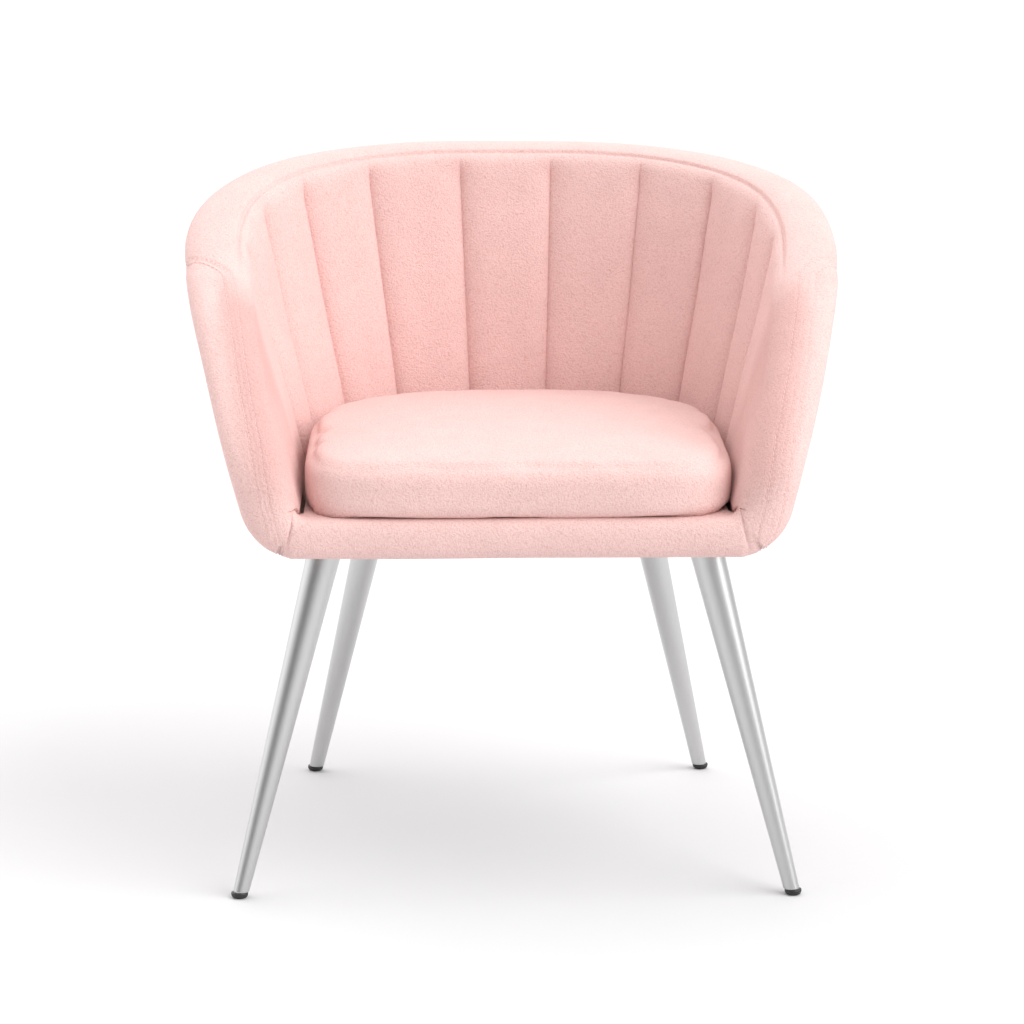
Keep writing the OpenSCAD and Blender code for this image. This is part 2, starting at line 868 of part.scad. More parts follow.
module leg_t_nuts() {
    color(steel_colour)
        at_each_bolt()
            difference() {
                union() {
                    translate([0, 0, board_top - nut_l])
                        cylinder(h = nut_l - nut_flange_t / 2, r = nut_r - 0.05);
                    translate([0, 0, board_top - nut_flange_t])
                        cylinder(h = nut_flange_t, r = nut_flange_r);
                }
                translate([0, 0, board_top - nut_l - cut])
                    cylinder(h = nut_l + 4 * cut, r = bolt_r);
            }
}

seat_board();
upright(upright_angles[0], 1);  // back_upright_centre
upright(upright_angles[1], 1);  // back_upright_left
upright(upright_angles[1], -1);  // back_upright_right
upright(upright_angles[2], 1);  // corner_upright_left
upright(upright_angles[2], -1);  // corner_upright_right
upright(upright_angles[3], 1);  // side_upright_left
upright(upright_angles[3], -1);  // side_upright_right
back_rail();
arm_rail(1);  // arm_rail_left
arm_rail(-1);  // arm_rail_right
front_rail();
frame_screws();
outer_lining();
outer_foam();
outer_cover();
back_support_webbing();
inner_foam();
inner_cover();
rim_foam();
rim_cover();
front_rail_foam();
front_rail_cover();
deck_foam();
deck_cover();
dust_cover();
dust_cover_staples();
cushion_core();
cushion_wadding();
cushion_top_cover();
cushion_side_band();
cushion_bottom_cover();
zip_tape();
zip_slider();
leg(front_top, front_foot, 1);  // leg_front_left
leg(front_top, front_foot, -1);  // leg_front_right
leg(rear_top, rear_foot, 1);  // leg_rear_left
leg(rear_top, rear_foot, -1);  // leg_rear_right
leg_plate(front_top, 1);  // leg_plate_front_left
leg_plate(front_top, -1);  // leg_plate_front_right
leg_plate(rear_top, 1);  // leg_plate_rear_left
leg_plate(rear_top, -1);  // leg_plate_rear_right
glide(front_top, front_foot, 1);  // glide_front_left
glide(front_top, front_foot, -1);  // glide_front_right
glide(rear_top, rear_foot, 1);  // glide_rear_left
glide(rear_top, rear_foot, -1);  // glide_rear_right
leg_bolts();
leg_t_nuts();
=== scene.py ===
"""Upholstered tub armchair: fabric covers, stitching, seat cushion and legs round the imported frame.

Metres, Z up; the sitter faces -Y and the sitter's left hand is towards +X.
"""

import math
from collections import namedtuple

import bpy
import numpy as np
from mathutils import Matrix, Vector


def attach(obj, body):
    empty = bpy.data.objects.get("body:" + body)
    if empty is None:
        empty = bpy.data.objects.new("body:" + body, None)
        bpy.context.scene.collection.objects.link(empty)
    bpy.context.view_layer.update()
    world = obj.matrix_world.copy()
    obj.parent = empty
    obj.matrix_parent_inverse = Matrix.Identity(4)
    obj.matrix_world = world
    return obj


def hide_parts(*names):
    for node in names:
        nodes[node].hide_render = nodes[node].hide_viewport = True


scene = bpy.context.scene

# --- Camera ---------------------------------------------------------------

CAMERA_DISTANCE = 3.65
CAMERA_HEIGHT = 1.12
CAMERA_YAW = math.radians(1.16)
CAMERA_PITCH = math.radians(11.95)
CAMERA_AIM_Y = -0.025
LENS = 123.5


def make_camera():
    data = bpy.data.cameras.new("camera")
    data.lens = LENS
    data.sensor_width = 36
    data.clip_end = 200
    camera = bpy.data.objects.new("camera", data)
    scene.collection.objects.link(camera)
    camera.location = (
        -math.sin(CAMERA_YAW) * CAMERA_DISTANCE,
        -math.cos(CAMERA_YAW) * CAMERA_DISTANCE + CAMERA_AIM_Y,
        CAMERA_HEIGHT,
    )
    forward = Vector((
        math.sin(CAMERA_YAW) * math.cos(CAMERA_PITCH),
        math.cos(CAMERA_YAW) * math.cos(CAMERA_PITCH),
        -math.sin(CAMERA_PITCH),
    ))
    camera.rotation_euler = forward.to_track_quat("-Z", "Y").to_euler()
    scene.camera = camera


make_camera()
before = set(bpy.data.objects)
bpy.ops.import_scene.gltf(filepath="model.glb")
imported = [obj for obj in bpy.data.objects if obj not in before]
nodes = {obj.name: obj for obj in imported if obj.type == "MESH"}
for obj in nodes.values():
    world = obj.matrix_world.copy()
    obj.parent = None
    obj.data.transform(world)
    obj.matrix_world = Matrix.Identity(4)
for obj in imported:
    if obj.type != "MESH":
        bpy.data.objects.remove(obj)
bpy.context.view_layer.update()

# --- The chair's driving sizes, as in the CAD model -------------------------

BASE_Z = 0.354
BASE_HALF_W = 0.2728
SIDE_FLARE = 0.263
BASE_BACK_D = 0.2645
BACK_LEAN = 0.20
ARM_START_Y = -0.045
FRONT_Y = -0.287
TOE_IN = 0.013
PLAN_POWER = 2.43
EDGE_R = 0.046
RIM_Z = 0.710
RIM_SLOPE = 0.142
RIM_SWEEP = 0.389
RIM_DEPTH_Y = 0.285
KNEE_Y = -0.074
KNEE_POWER = 2.52
ARM_FRONT_Z = 0.415
WALL_T = 0.066
ROLL_H = 0.022
ROLL_POWER = 2.4
RIM_SKIRT = 0.046
DECK_Z = 0.394
RAIL_ROUND = 0.016
RAIL_POWER = 2.6
CORNER_FILLET = 0.010
# A height near the top of the back and the sides, for finding the rim
CREST_Z = 0.66

# --- Shell surface ----------------------------------------------------------


def half_w(z):
    return BASE_HALF_W + SIDE_FLARE * (z - BASE_Z)


def back_d(z):
    return BASE_BACK_D + BACK_LEAN * (z - BASE_Z)


def curl(z):
    drop = np.clip(EDGE_R - (z - BASE_Z), 0, EDGE_R)
    return EDGE_R - np.sqrt(EDGE_R**2 - drop**2)


def toe(y):
    return TOE_IN * np.clip((ARM_START_Y - y) / (ARM_START_Y - FRONT_Y), 0, None) ** 1.5


def rim_line(y):
    d = np.clip(RIM_DEPTH_Y - y, 0, None)
    return RIM_Z - RIM_SLOPE * d - RIM_SWEEP * d * d


def back_point(a, z, o):
    """Point of the curved back at plan angle a (degrees), o in from the skin, for x > 0."""
    r = np.radians(a)
    x = (half_w(z) - o) * np.abs(np.sin(r)) ** (2 / PLAN_POWER)
    y = ARM_START_Y + (back_d(z) - o) * np.clip(np.cos(r), 0, None) ** (2 / PLAN_POWER)
    return x, y


def back_rim(a, d):
    z = np.full(np.broadcast(a, d).shape, 0.64)
    for _ in range(10):
        z = rim_line(back_point(a, z, 0)[1]) - d
    return z


def spow(v, power):
    return np.sign(v) * np.abs(v) ** (2 / power)


def roll(f, power=ROLL_POWER, depth=ROLL_H):
    """Share across the wall and depth below the rim, round the roll; f is in degrees from 0 to 180."""
    r = np.radians(f)
    return 0.5 - 0.5 * spow(np.cos(r), power), depth - depth * spow(np.sin(r), power)


def knee_yz(f, d):
    r = math.radians(f)
    y = KNEE_Y - (KNEE_Y - FRONT_Y - d) * math.sin(r) ** (2 / KNEE_POWER)
    top = rim_line(y) - d
    return y, top - (top - ARM_FRONT_Z) * (1 - max(0.0, math.cos(r)) ** (2 / KNEE_POWER))


# --- The upholstery as one ring of section columns --------------------------
# Each column is a section across the wall: from the underside up the outside, over the
# roll and down the inside. Columns run from the middle of the back along each arm, round
# the arm's front and along the padded front rail.

# Plan angles of the five channel seams each side of the middle, at the rim and at the seat
SEAMS = {
    -1: [(7.0, 7.4), (26.5, 27.3), (45.7, 46.5), (63.6, 66.5), (82.0, 77.0)],
    1: [(6.2, 7.2), (25.0, 27.5), (45.2, 48.8), (64.8, 70.5), (79.5, 86.0)],
}
LAST_CHANNEL = 5
NO_CHANNEL = 6
# Inset of the arm's topstitched seam from the outer skin, at the shoulder, at mid height
# and at the foot, and half the distance between its two rows of stitches
ARM_SEAM = {-1: (0.0465, 0.0405, 0.0335), 1: (0.0345, 0.0330, 0.0270)}
MID_HEIGHT = 0.6
STITCH_HALF = {-1: 0.0050, 1: 0.0092}
BACK_STITCH_HALF = 0.0045
# Where that seam meets the chair's lower edge, and how far it leans out as it rises
SEAM_FOOT_X = {-1: 0.2355, 1: 0.2415}
SEAM_LEAN = 0.24
# It climbs over the roll between these two lines of the arm
CROSS_START_Y = 0.010
CROSS_END_Y = -0.080
# The rim's inner seam, in from the skin, and the rail's, as a share across its roll
RIM_SEAM_IN = 0.0590
RAIL_SEAM_SHARE = 0.92
# Where the inner cover ends, under the cushion
INNER_FOOT_Z = 0.380
INNER_FOOT_BACK = 0.060
# How far the cover turns under the shell and under the rail
UNDER_TURN = 0.014
RAIL_UNDER_TURN = 0.010
# The lower edge runs back from the rail's line to where the corner starts
RAIL_BASE_Y = FRONT_Y + RIM_SKIRT
CORNER_BASE_Y = RAIL_BASE_Y + 0.012
# At the seam between arm and rail: the lower corner's turn in degrees, and the fillet's share
CORNER_TURN = 80
CORNER_SHARE = 0.12
FILLET_STRETCH = 1.3

# Columns in each stretch of the ring
COLS_PER_CHANNEL = 28
STRAIGHT_COLS = 6
KNEE_COLS = 70
KNEE_SPACING = 0.85
FRONT_COLS = 5
FRONT_STEP = 0.0025
CORNER_COLS = 18
RAIL_END_COLS = 8
RAIL_COLS = 50

arc = np.linspace(0, 1, 40)
long = np.linspace(0, 1, 90)
roll_f = np.linspace(0, 180, 121)
Column = namedtuple("Column", "side kind points s seam1 seam2 channel across")


def smooth(t):
    t = np.clip(t, 0, 1)
    return t * t * (3 - 2 * t)


def clustered(n):
    """n steps from 0 to 1, close together at both ends."""
    return (1 - np.cos(np.pi * np.arange(n) / n)) / 2


def arm_x(y, z, o):
    """Half width of the arm at y and z, o in from the skin."""
    return half_w(z) - o - toe(y) * (1 - o / WALL_T)


def curled_x(y, z):
    """Half width of the arm's skin, drawn in by the curl at the lower edge."""
    return arm_x(y, z, curl(z))


def lower_part(z_top, y_base, y_top, x_at):
    """Underside turn and outer face from the lower edge up to z_top."""
    reach = min(1.0, (z_top - BASE_Z) / EDGE_R)
    g_top = math.acos(max(0.0, 1 - reach))
    z = BASE_Z + EDGE_R * (1 - np.cos(g_top * arc))
    if z_top > BASE_Z + EDGE_R:
        z = np.concatenate([z, BASE_Z + EDGE_R + (z_top - BASE_Z - EDGE_R) * long[1:]])
    t = (z - BASE_Z) / max(1e-9, z_top - BASE_Z)
    y = y_base + (y_top - y_base) * t
    return x_at(y, z), y, z


def under_turn(x, y, push_x, push_y):
    """The cover's edge, turned under towards the dust cover."""
    t = (1 - arc[::6])[:-1]
    return x - push_x * t, y - push_y * t, BASE_Z + 0.003 * t**0.5


def section(*stretches):
    """Points of a section, from the x, y and z of each of its stretches."""
    return np.stack([np.concatenate(values) for values in zip(*stretches)], 1)


def back_column(a_rim, a_seat):
    """A column of the curved back. Its plan angle shifts from the rim to the seat, on the inside."""
    z_low = float(back_rim(a_rim, RIM_SKIRT))

    def face(y, z):
        return back_point(a_rim, z, curl(z))[0]

    x, _, z = lower_part(z_low, 0, 0, face)
    y = back_point(a_rim, z, curl(z))[1]
    inner = back_point(a_rim, BASE_Z, EDGE_R + UNDER_TURN)
    under = under_turn(x[0], y[0], x[0] - inner[0], y[0] - inner[1])
    d = RIM_SKIRT + (ROLL_H - RIM_SKIRT) * arc[1:]
    sz = back_rim(a_rim, d)
    share, depth = roll(roll_f[1:])
    rz = back_rim(a_rim, depth)
    iz = rz[-1] + (INNER_FOOT_Z - rz[-1]) * long[1:]
    points = section(
        under, (x, y, z),
        (*back_point(a_rim, sz, 0), sz),
        (*back_point(a_rim, rz, share * WALL_T), rz),
        (*back_point(a_rim + (a_seat - a_rim) * long[1:], iz, WALL_T), iz),
    )
    skirt = len(under[0]) + len(x) - 1
    return points, skirt, skirt + len(d)


def arm_column(pos, y_base, y_inner):
    """A column of the straight arm or its knee; pos(d) gives y and z at depth d below the rim."""
    y_low, z_low = pos(RIM_SKIRT)
    x, y, z = lower_part(z_low, y_base, y_low, curled_x)
    under = under_turn(x[0], y[0], UNDER_TURN, 0)
    d = RIM_SKIRT + (ROLL_H - RIM_SKIRT) * arc[1:]
    share, depth = roll(roll_f[1:])
    path = np.array([pos(v) for v in np.concatenate([d, depth])])
    path_y, path_z = path[:, 0], path[:, 1]
    path_x = arm_x(path_y, path_z, np.concatenate([0 * d, share * WALL_T]))
    iy = path_y[-1] + (y_inner - path_y[-1]) * long[1:]
    iz = path_z[-1] + (INNER_FOOT_Z - path_z[-1]) * long[1:]
    points = section(under, (x, y, z), (path_x, path_y, path_z), (half_w(iz) - WALL_T, iy, iz))
    skirt = len(under[0]) + len(x) - 1
    return points, skirt, skirt + len(d)


def front_column(z_out, x_out, inner, power, depth, y_base, end):
    """A column across the arm's front or the rail, from its outer point to its inner one in the
    front plane, then back to its end point on the seat."""
    x, y, z = lower_part(z_out, y_base, RAIL_BASE_Y, x_out)
    under = under_turn(x[0], y[0], 0, -RAIL_UNDER_TURN)
    sy = RAIL_BASE_Y + (depth - RIM_SKIRT) * arc[1:]
    share, dep = roll(roll_f[1:], power, depth)
    py = np.concatenate([sy, FRONT_Y + dep])
    ps = np.concatenate([0 * sy, share])
    xo = x_out(py, np.full_like(py, z_out))
    px = xo + (inner[0] - xo) * ps
    pz = z_out + (inner[1] - z_out) * ps
    points = section(
        under, (x, y, z), (px, py, pz),
        (inner[0] + (end[0] - inner[0]) * long[1:], py[-1] + (end[1] - py[-1]) * long[1:],
         inner[1] + (end[2] - inner[1]) * long[1:]),
    )
    skirt = len(under[0]) + len(x) - 1
    return points, skirt, skirt + len(sy)


def roll_index(share_wanted, power=ROLL_POWER):
    share, _ = roll(roll_f[1:], power)
    return int(np.argmin(np.abs(share - share_wanted)))


def new_column(side, kind, built, crossed, share1, share2=RIM_SEAM_IN / WALL_T, power=ROLL_POWER,
               channel=NO_CHANNEL, across=0.0):
    """Column of a built section. Its outer seam is on the skirt's lower line, or share1 across
    the roll once it has crossed, and its inner seam is share2 across."""
    points, skirt, top = built
    s = np.concatenate([[0], np.cumsum(np.linalg.norm(np.diff(points, axis=0), axis=1))])
    rolled = s[top + 1 + roll_index(share1, power)]
    seam1 = s[skirt] + (rolled - s[skirt]) * crossed
    seam2 = s[top + 1 + roll_index(share2, power)]
    return Column(side, kind, points * [side, 1, 1], s, seam1, seam2, channel, across)


def crossing(y):
    """How far the outer seam has climbed on to the roll where the rim is at y."""
    return float(smooth((CROSS_START_Y - y) / (CROSS_START_Y - CROSS_END_Y)))


def back_columns(side):
    """The curved back, channel by channel."""
    columns = []
    angles = [(0.0, 0.0)] + SEAMS[side] + [(90.0, 90.0)]
    half = COLS_PER_CHANNEL // 2
    turn = np.pi / 2 * np.arange(half) / half
    for channel, (low, high) in enumerate(zip(angles[:-1], angles[1:])):
        ts = clustered(COLS_PER_CHANNEL)
        if channel == 0:
            ts = np.sin(turn)
        if channel == LAST_CHANNEL:
            ts = 1 - np.cos(turn)
        for t in ts:
            a_rim = low[0] + (high[0] - low[0]) * t
            a_seat = low[1] + (high[1] - low[1]) * t
            crest_y = float(back_point(a_rim, CREST_Z, WALL_T / 2)[1])
            # The middle channel's two halves meet at the chair's centre
            across = t if channel else 0.5 + t / 2
            columns.append(new_column(side, "back", back_column(a_rim, a_seat), crossing(crest_y),
                                      ARM_SEAM[side][0] / WALL_T, channel=channel, across=across))
    return columns


def arm_columns(side):
    """The straight stretch of the arm and its knee, down to the start of its front."""
    columns = []
    shoulder, middle, foot = ARM_SEAM[side]
    total = STRAIGHT_COLS + KNEE_COLS
    for i in range(total):
        if i < STRAIGHT_COLS:
            y0 = ARM_START_Y + (KNEE_Y - ARM_START_Y) * i / STRAIGHT_COLS
            f = 0.0

            def pos(d, y0=y0):
                return y0, float(rim_line(y0)) - d
        else:
            f = 90 * ((i - STRAIGHT_COLS) / (KNEE_COLS - 1)) ** KNEE_SPACING

            def pos(d, f=f):
                return knee_yz(f, d)
        t = i / (total - 1)
        y_base = ARM_START_Y + (CORNER_BASE_Y - ARM_START_Y) * t
        y_inner = ARM_START_Y + (FRONT_Y + INNER_FOOT_BACK - ARM_START_Y) * t
        g = f / 90
        inset = shoulder + (middle - shoulder) * smooth(g / MID_HEIGHT)
        if g >= MID_HEIGHT:
            inset = middle + (foot - middle) * smooth((g - MID_HEIGHT) / (1 - MID_HEIGHT))
        columns.append(new_column(side, "arm", arm_column(pos, y_base, y_inner),
                                  crossing(pos(0)[0]), inset / WALL_T))
    return columns


def corner_inner(fillet):
    """Inner point of the section at the seat's front corner; fillet is 0 at the arm, 1 at the rail."""
    g = math.radians(90 * fillet)
    z_face = DECK_Z + CORNER_FILLET
    return (float(half_w(z_face)) - WALL_T - CORNER_FILLET * (1 - math.cos(g)) * FILLET_STRETCH,
            z_face - CORNER_FILLET * math.sin(g))


def front_columns(side):
    """The arm's front, its lower corner and the end of the rail."""
    stages = [(ARM_FRONT_Z - FRONT_STEP * k, 0.0) for k in range(1, FRONT_COLS + 1)]
    turns = [(CORNER_TURN * ((k + 1) / CORNER_COLS), CORNER_SHARE * (k + 1) / CORNER_COLS)
             for k in range(CORNER_COLS)]
    turns += [(CORNER_TURN + (90 - CORNER_TURN) * (k + 1) / RAIL_END_COLS,
               CORNER_SHARE + (1 - CORNER_SHARE) * (k + 1) / RAIL_END_COLS)
              for k in range(RAIL_END_COLS)]
    stages += [(BASE_Z + EDGE_R * (1 - math.sin(math.radians(turn))), fillet)
               for turn, fillet in turns]
    columns = []
    for n, (z_out, fillet) in enumerate(stages):
        inner = corner_inner(fillet) if fillet else (float(half_w(z_out)) - WALL_T, z_out)
        blend = smooth((fillet - 0.05) / 0.95)
        power = ROLL_POWER + (RAIL_POWER - ROLL_POWER) * blend
        depth = ROLL_H + (RAIL_ROUND - ROLL_H) * blend
        xo = float(curled_x(FRONT_Y, np.array(z_out)))
        gap = xo - SEAM_FOOT_X[side] - SEAM_LEAN * (z_out - BASE_Z)
        share1 = gap / ((xo - inner[0]) + SEAM_LEAN * (inner[1] - z_out))
        t = (n + 1) / len(stages)
        y_base = CORNER_BASE_Y + (RAIL_BASE_Y - CORNER_BASE_Y) * t
        end_z = INNER_FOOT_Z + (DECK_Z - INNER_FOOT_Z) * t
        face_x = float(half_w(end_z)) - WALL_T
        end = (face_x + (inner[0] - face_x) * fillet,
               FRONT_Y + INNER_FOOT_BACK + (RIM_SKIRT - INNER_FOOT_BACK) * t, end_z)
        built = front_column(z_out, curled_x, inner, power, depth, y_base, end)
        # Past the foot of the arm's seam the outer seam drops back to the lower edge
        crossed = float(np.clip(1 + 7 * share1, 0, 1))
        columns.append(new_column(side, "front" if fillet <= CORNER_SHARE else "rail", built,
                                  crossed, float(np.clip(share1, 0.0, 0.9)), RAIL_SEAM_SHARE, power))
    return columns


def rail_columns(side):
    """The front rail, towards the middle. The middle column belongs to the +X side."""
    columns = []
    inner_x = corner_inner(1.0)[0]
    for k in range(1, RAIL_COLS + (1 if side > 0 else 0)):
        t = math.sin(math.pi / 2 * k / RAIL_COLS) if k < RAIL_COLS else 1.0

        def x_out(y, z, t=t):
            return curled_x(y, z) * (1 - t)

        x_in = inner_x * (1 - t)
        built = front_column(BASE_Z, x_out, (x_in, DECK_Z), RAIL_POWER, RAIL_ROUND,
                             RAIL_BASE_Y, (x_in, RAIL_BASE_Y, DECK_Z))
        columns.append(new_column(side, "rail", built, 0.0, 0.0, RAIL_SEAM_SHARE, RAIL_POWER))
    return columns


def half_ring(side):
    """Columns from the middle of the back to the middle of the front rail, on one side."""
    return back_columns(side) + arm_columns(side) + front_columns(side) + rail_columns(side)


# Round the ring: from the middle of the back along +X, across the rail, and back along -X
ring = half_ring(1) + half_ring(-1)[:0:-1]

ROWS_OUTER = 84
ROWS_RIM = 50
ROWS_INNER = 84


def seam_rows(column):
    """Arc lengths of a column's rows: closer together near its two seams."""
    fine = np.linspace(0, column.s[-1], 1200)
    weight = 1 + 3.0 * np.exp(-(((fine - column.seam1) / 0.012) ** 2))
    weight += 2.0 * np.exp(-(((fine - column.seam2) / 0.012) ** 2))
    total = np.concatenate([[0], np.cumsum((weight[1:] + weight[:-1]) / 2 * np.diff(fine))])
    parts = [(0, column.seam1, ROWS_OUTER), (column.seam1, column.seam2, ROWS_RIM),
             (column.seam2, column.s[-1], ROWS_INNER)]
    rows = []
    for n, (a, b, count) in enumerate(parts):
        wa, wb = np.interp([a, b], fine, total)
        w = wa + (wb - wa) * np.arange(count + (n == 2)) / count
        rows.append(np.interp(w, total, fine))
    return np.concatenate(rows)


grid_s = np.array([seam_rows(c) for c in ring])
grid = np.array([
    np.stack([np.interp(s, c.s, c.points[:, k]) for k in range(3)], 1)
    for c, s in zip(ring, grid_s)
])
R1 = ROWS_OUTER
R2 = ROWS_OUTER + ROWS_RIM
seam1_s = np.array([c.seam1 for c in ring])[:, None]
seam2_s = np.array([c.seam2 for c in ring])[:, None]
sides = np.array([c.side for c in ring])[:, None]
kinds = np.array([c.kind for c in ring])
channels = np.array([c.channel for c in ring])
across = np.array([c.across for c in ring])


def grid_normals(points):
    """Outward normals of the ring, which closes on itself."""
    du = np.roll(points, -1, 0) - np.roll(points, 1, 0)
    dv = np.gradient(points, axis=1)
    n = np.cross(dv, du)
    return n / np.maximum(1e-12, np.linalg.norm(n, axis=2, keepdims=True))


def seam_distance(row, seam_s):
    """Distance of each grid point from the seam along a row, measured square to the seam."""
    along = np.roll(grid[:, row], -1, 0) - np.roll(grid[:, row], 1, 0)
    across_it = grid[:, row + 1] - grid[:, row - 1]
    along /= np.maximum(1e-9, np.linalg.norm(along, axis=1, keepdims=True))
    across_it /= np.maximum(1e-9, np.linalg.norm(across_it, axis=1, keepdims=True))
    square = np.linalg.norm(np.cross(along, across_it), axis=1)
    return np.abs(grid_s - seam_s) * square[:, None]


normals = grid_normals(grid)

# --- Soft shape: channels, seams and small hollows ---------------------------

CREASE = 0.0060
BULGE = 0.0085
BULGE_POWER = 3.4
# Padding rises again past the outermost channel seam: height, distance and spread
ARM_RISE, ARM_RISE_AT, ARM_RISE_SPREAD = 0.0025, 0.034, 0.020
PAD_RISE = 0.0016
OUTER_RISE = 0.0010
# Depth and half width of each groove and of the softer dip round it
RIM_GROOVE, RIM_DIP = (0.0026, 0.0020), (0.0010, 0.008)
TOP_GROOVE, STITCH_GROOVE = (0.0010, 0.0014), (0.0006, 0.0013)
CORNER_GROOVE, CORNER_DIP = (0.0022, 0.0018), (0.0006, 0.007)
# The cover's dip at the shoulder of each arm, and its reach in x, y and z
SHOULDER_Y = -0.098
SHOULDER_DIP = {-1: 0.0035, 1: 0.002}
SHOULDER_REACH = np.array([0.008, 0.026, 0.026])
SWELL = 0.004
SWELL_TOP_Z = 0.52
SWELL_START_Y = -0.09

is_back = kinds == "back"
on_shell = (kinds != "rail")[:, None]
grid_y, grid_z = grid[:, :, 1], grid[:, :, 2]
below_rim = grid_s - seam2_s
# Arc length round the ring, along each row
ring_step = np.linalg.norm(np.roll(grid, -1, 0) - grid, axis=2)
run = np.concatenate([np.zeros((1, grid.shape[1])), np.cumsum(ring_step, 0)[:-1]])


def groove(distance, size):
    """Depth of a groove of this depth and half width, at a distance from its line."""
    depth, width = size
    return depth * np.exp(-((distance / width) ** 2))


def channel_height():
    """Height of the sewn channels over the smooth inner face, before it fades towards the rim."""
    distance = np.full(grid.shape[:2], 9.0)
    for side in (-1, 1):
        for channel in range(1, LAST_CHANNEL + 1):
            cols = np.where(is_back & (sides[:, 0] == side) & (channels == channel))[0]
            seam = cols[np.argmin(across[cols])]
            distance = np.minimum(distance, np.abs(run - run[seam][None]))
    w = np.where(is_back & (channels < LAST_CHANNEL), across, 0.5)[:, None]
    bulge = BULGE * (1 - np.abs(2 * w - 1) ** BULGE_POWER)
    height = bulge - CREASE - 0.0016 * np.exp(-distance / 0.0018)
    # Past the outermost seam the padding flows into the arm
    soft = groove(distance - ARM_RISE_AT, (ARM_RISE, ARM_RISE_SPREAD))
    soft -= CREASE * np.exp(-distance / 0.011) + 0.0012 * np.exp(-distance / 0.0022)
    return np.where(((channels == LAST_CHANNEL) | ~is_back)[:, None], soft, height)


bend = smooth((below_rim - 0.002) / 0.034) * channel_height()

# The rim seam runs round the back and dies out on the arms
rim_seam_fade = smooth((grid[:, R2, 1] + 0.085) / 0.075)[:, None]
d2 = seam_distance(R2, seam2_s)
bend -= rim_seam_fade * (groove(d2, RIM_GROOVE) + groove(d2, RIM_DIP) * (below_rim > 0))

# Round the back the rim's pad stands a little proud between its seams
share = (grid_s - seam1_s) / np.maximum(1e-6, seam2_s - seam1_s)
bend += PAD_RISE * np.sin(np.pi * np.clip(share, 0, 1)) * rim_seam_fade

# Topstitched seam: a shallow groove with a row of stitches each side, shallower on the arms
arm_share = smooth((0.03 - grid[:, R1, 1]) / 0.08)[:, None]
stitch_half = np.where(sides > 0, STITCH_HALF[1], STITCH_HALF[-1])
stitch_half = BACK_STITCH_HALF + (stitch_half - BACK_STITCH_HALF) * arm_share
d1 = seam_distance(R1, seam1_s)
top_seam = groove(d1, TOP_GROOVE) * (1 - 0.75 * arm_share)
top_seam += groove(d1 - stitch_half, STITCH_GROOVE)
# Seams stay shallow where they turn under the chair
low_fade = smooth((grid_z - BASE_Z - 0.004) / 0.018)
bend -= top_seam * on_shell * low_fade
bend += OUTER_RISE * smooth((seam1_s - grid_s - 0.012) / 0.02) * on_shell

# The cover dips where the seam turns over the shoulder of each arm
for side, depth in SHOULDER_DIP.items():
    elsewhere = (sides[:, 0] != side) | (kinds != "arm")
    col = np.argmin(np.abs(grid[:, R1, 1] - SHOULDER_Y) + 9 * elsewhere)
    spot = grid[col, R1] + np.array([side * 0.012, 0, -0.004])
    bend -= groove(np.linalg.norm((grid - spot) / SHOULDER_REACH, axis=2), (depth, 1))

# Seam between each arm front and the rail
front_right = np.where((kinds == "front") & (sides[:, 0] < 0))[0]
front_left = np.where((kinds == "front") & (sides[:, 0] > 0))[0]
first_rail, last_rail = front_left[-1], front_right[0]
for c in (last_rail, first_rail):
    d = np.linalg.norm(grid - grid[c][None], axis=2)
    depth = smooth((grid_s - seam1_s) / 0.012) * smooth((seam2_s + 0.010 - grid_s) / 0.012)
    bend -= depth * low_fade * (groove(d, CORNER_GROOVE) + groove(d, CORNER_DIP))

# Slow unevenness of hand-stretched padding
rng = np.random.default_rng(7)
for k in range(14):
    wave = rng.normal(size=3)
    wave *= rng.uniform(14, 46) / np.linalg.norm(wave)
    bend += rng.uniform(0.00012, 0.00034) * np.sin(grid @ wave + rng.uniform(0, 6.28))

# The inner padding of each arm swells against the cushion
swell = smooth((below_rim - 0.004) / 0.03) * smooth((SWELL_TOP_Z - grid_z) / 0.07)
swell *= smooth((grid_z - DECK_Z + 0.004) / 0.012) * smooth((SWELL_START_Y - grid_y) / 0.06)
bend += SWELL * swell * on_shell

# The turned-under edge stays where it is
shell = grid + normals * (bend * smooth(grid_s / 0.02))[..., None]
shell_normals = grid_normals(shell)

# --- Mesh helpers -------------------------------------------------------------


def new_object(name, points, faces, material, vertex_normals=None):
    mesh = bpy.data.meshes.new(name)
    mesh.from_pydata([tuple(p) for p in points], [], faces)
    mesh.polygons.foreach_set("use_smooth", [True] * len(mesh.polygons))
    mesh.materials.append(material)
    mesh.update()
    if vertex_normals is not None:
        mesh.normals_split_custom_set_from_vertices([tuple(n) for n in vertex_normals])
    obj = bpy.data.objects.new(name, mesh)
    scene.collection.objects.link(obj)
    return obj


def ring_piece(name, col_list, row0, row1, material):
    """A patch of the ring: the listed columns, in order, from row0 to row1 inclusive."""
    cols = np.array(col_list)
    rows = row1 - row0 + 1
    points = shell[cols, row0:row1 + 1].reshape(-1, 3)
    norms = shell_normals[cols, row0:row1 + 1].reshape(-1, 3)
    faces = []
    for i in range(len(cols) - 1):
        for j in range(rows - 1):
            a = i * rows + j
            faces.append((a, a + 1, a + rows + 1, a + rows))
    return new_object(name, points, faces, material, norms)


# --- Materials ------------------------------------------------------------------


def node_material(name):
    material = bpy.data.materials.new(name)
    material.use_nodes = True
    tree = material.node_tree
    shader = tree.nodes["Principled BSDF"]
    return material, tree, shader


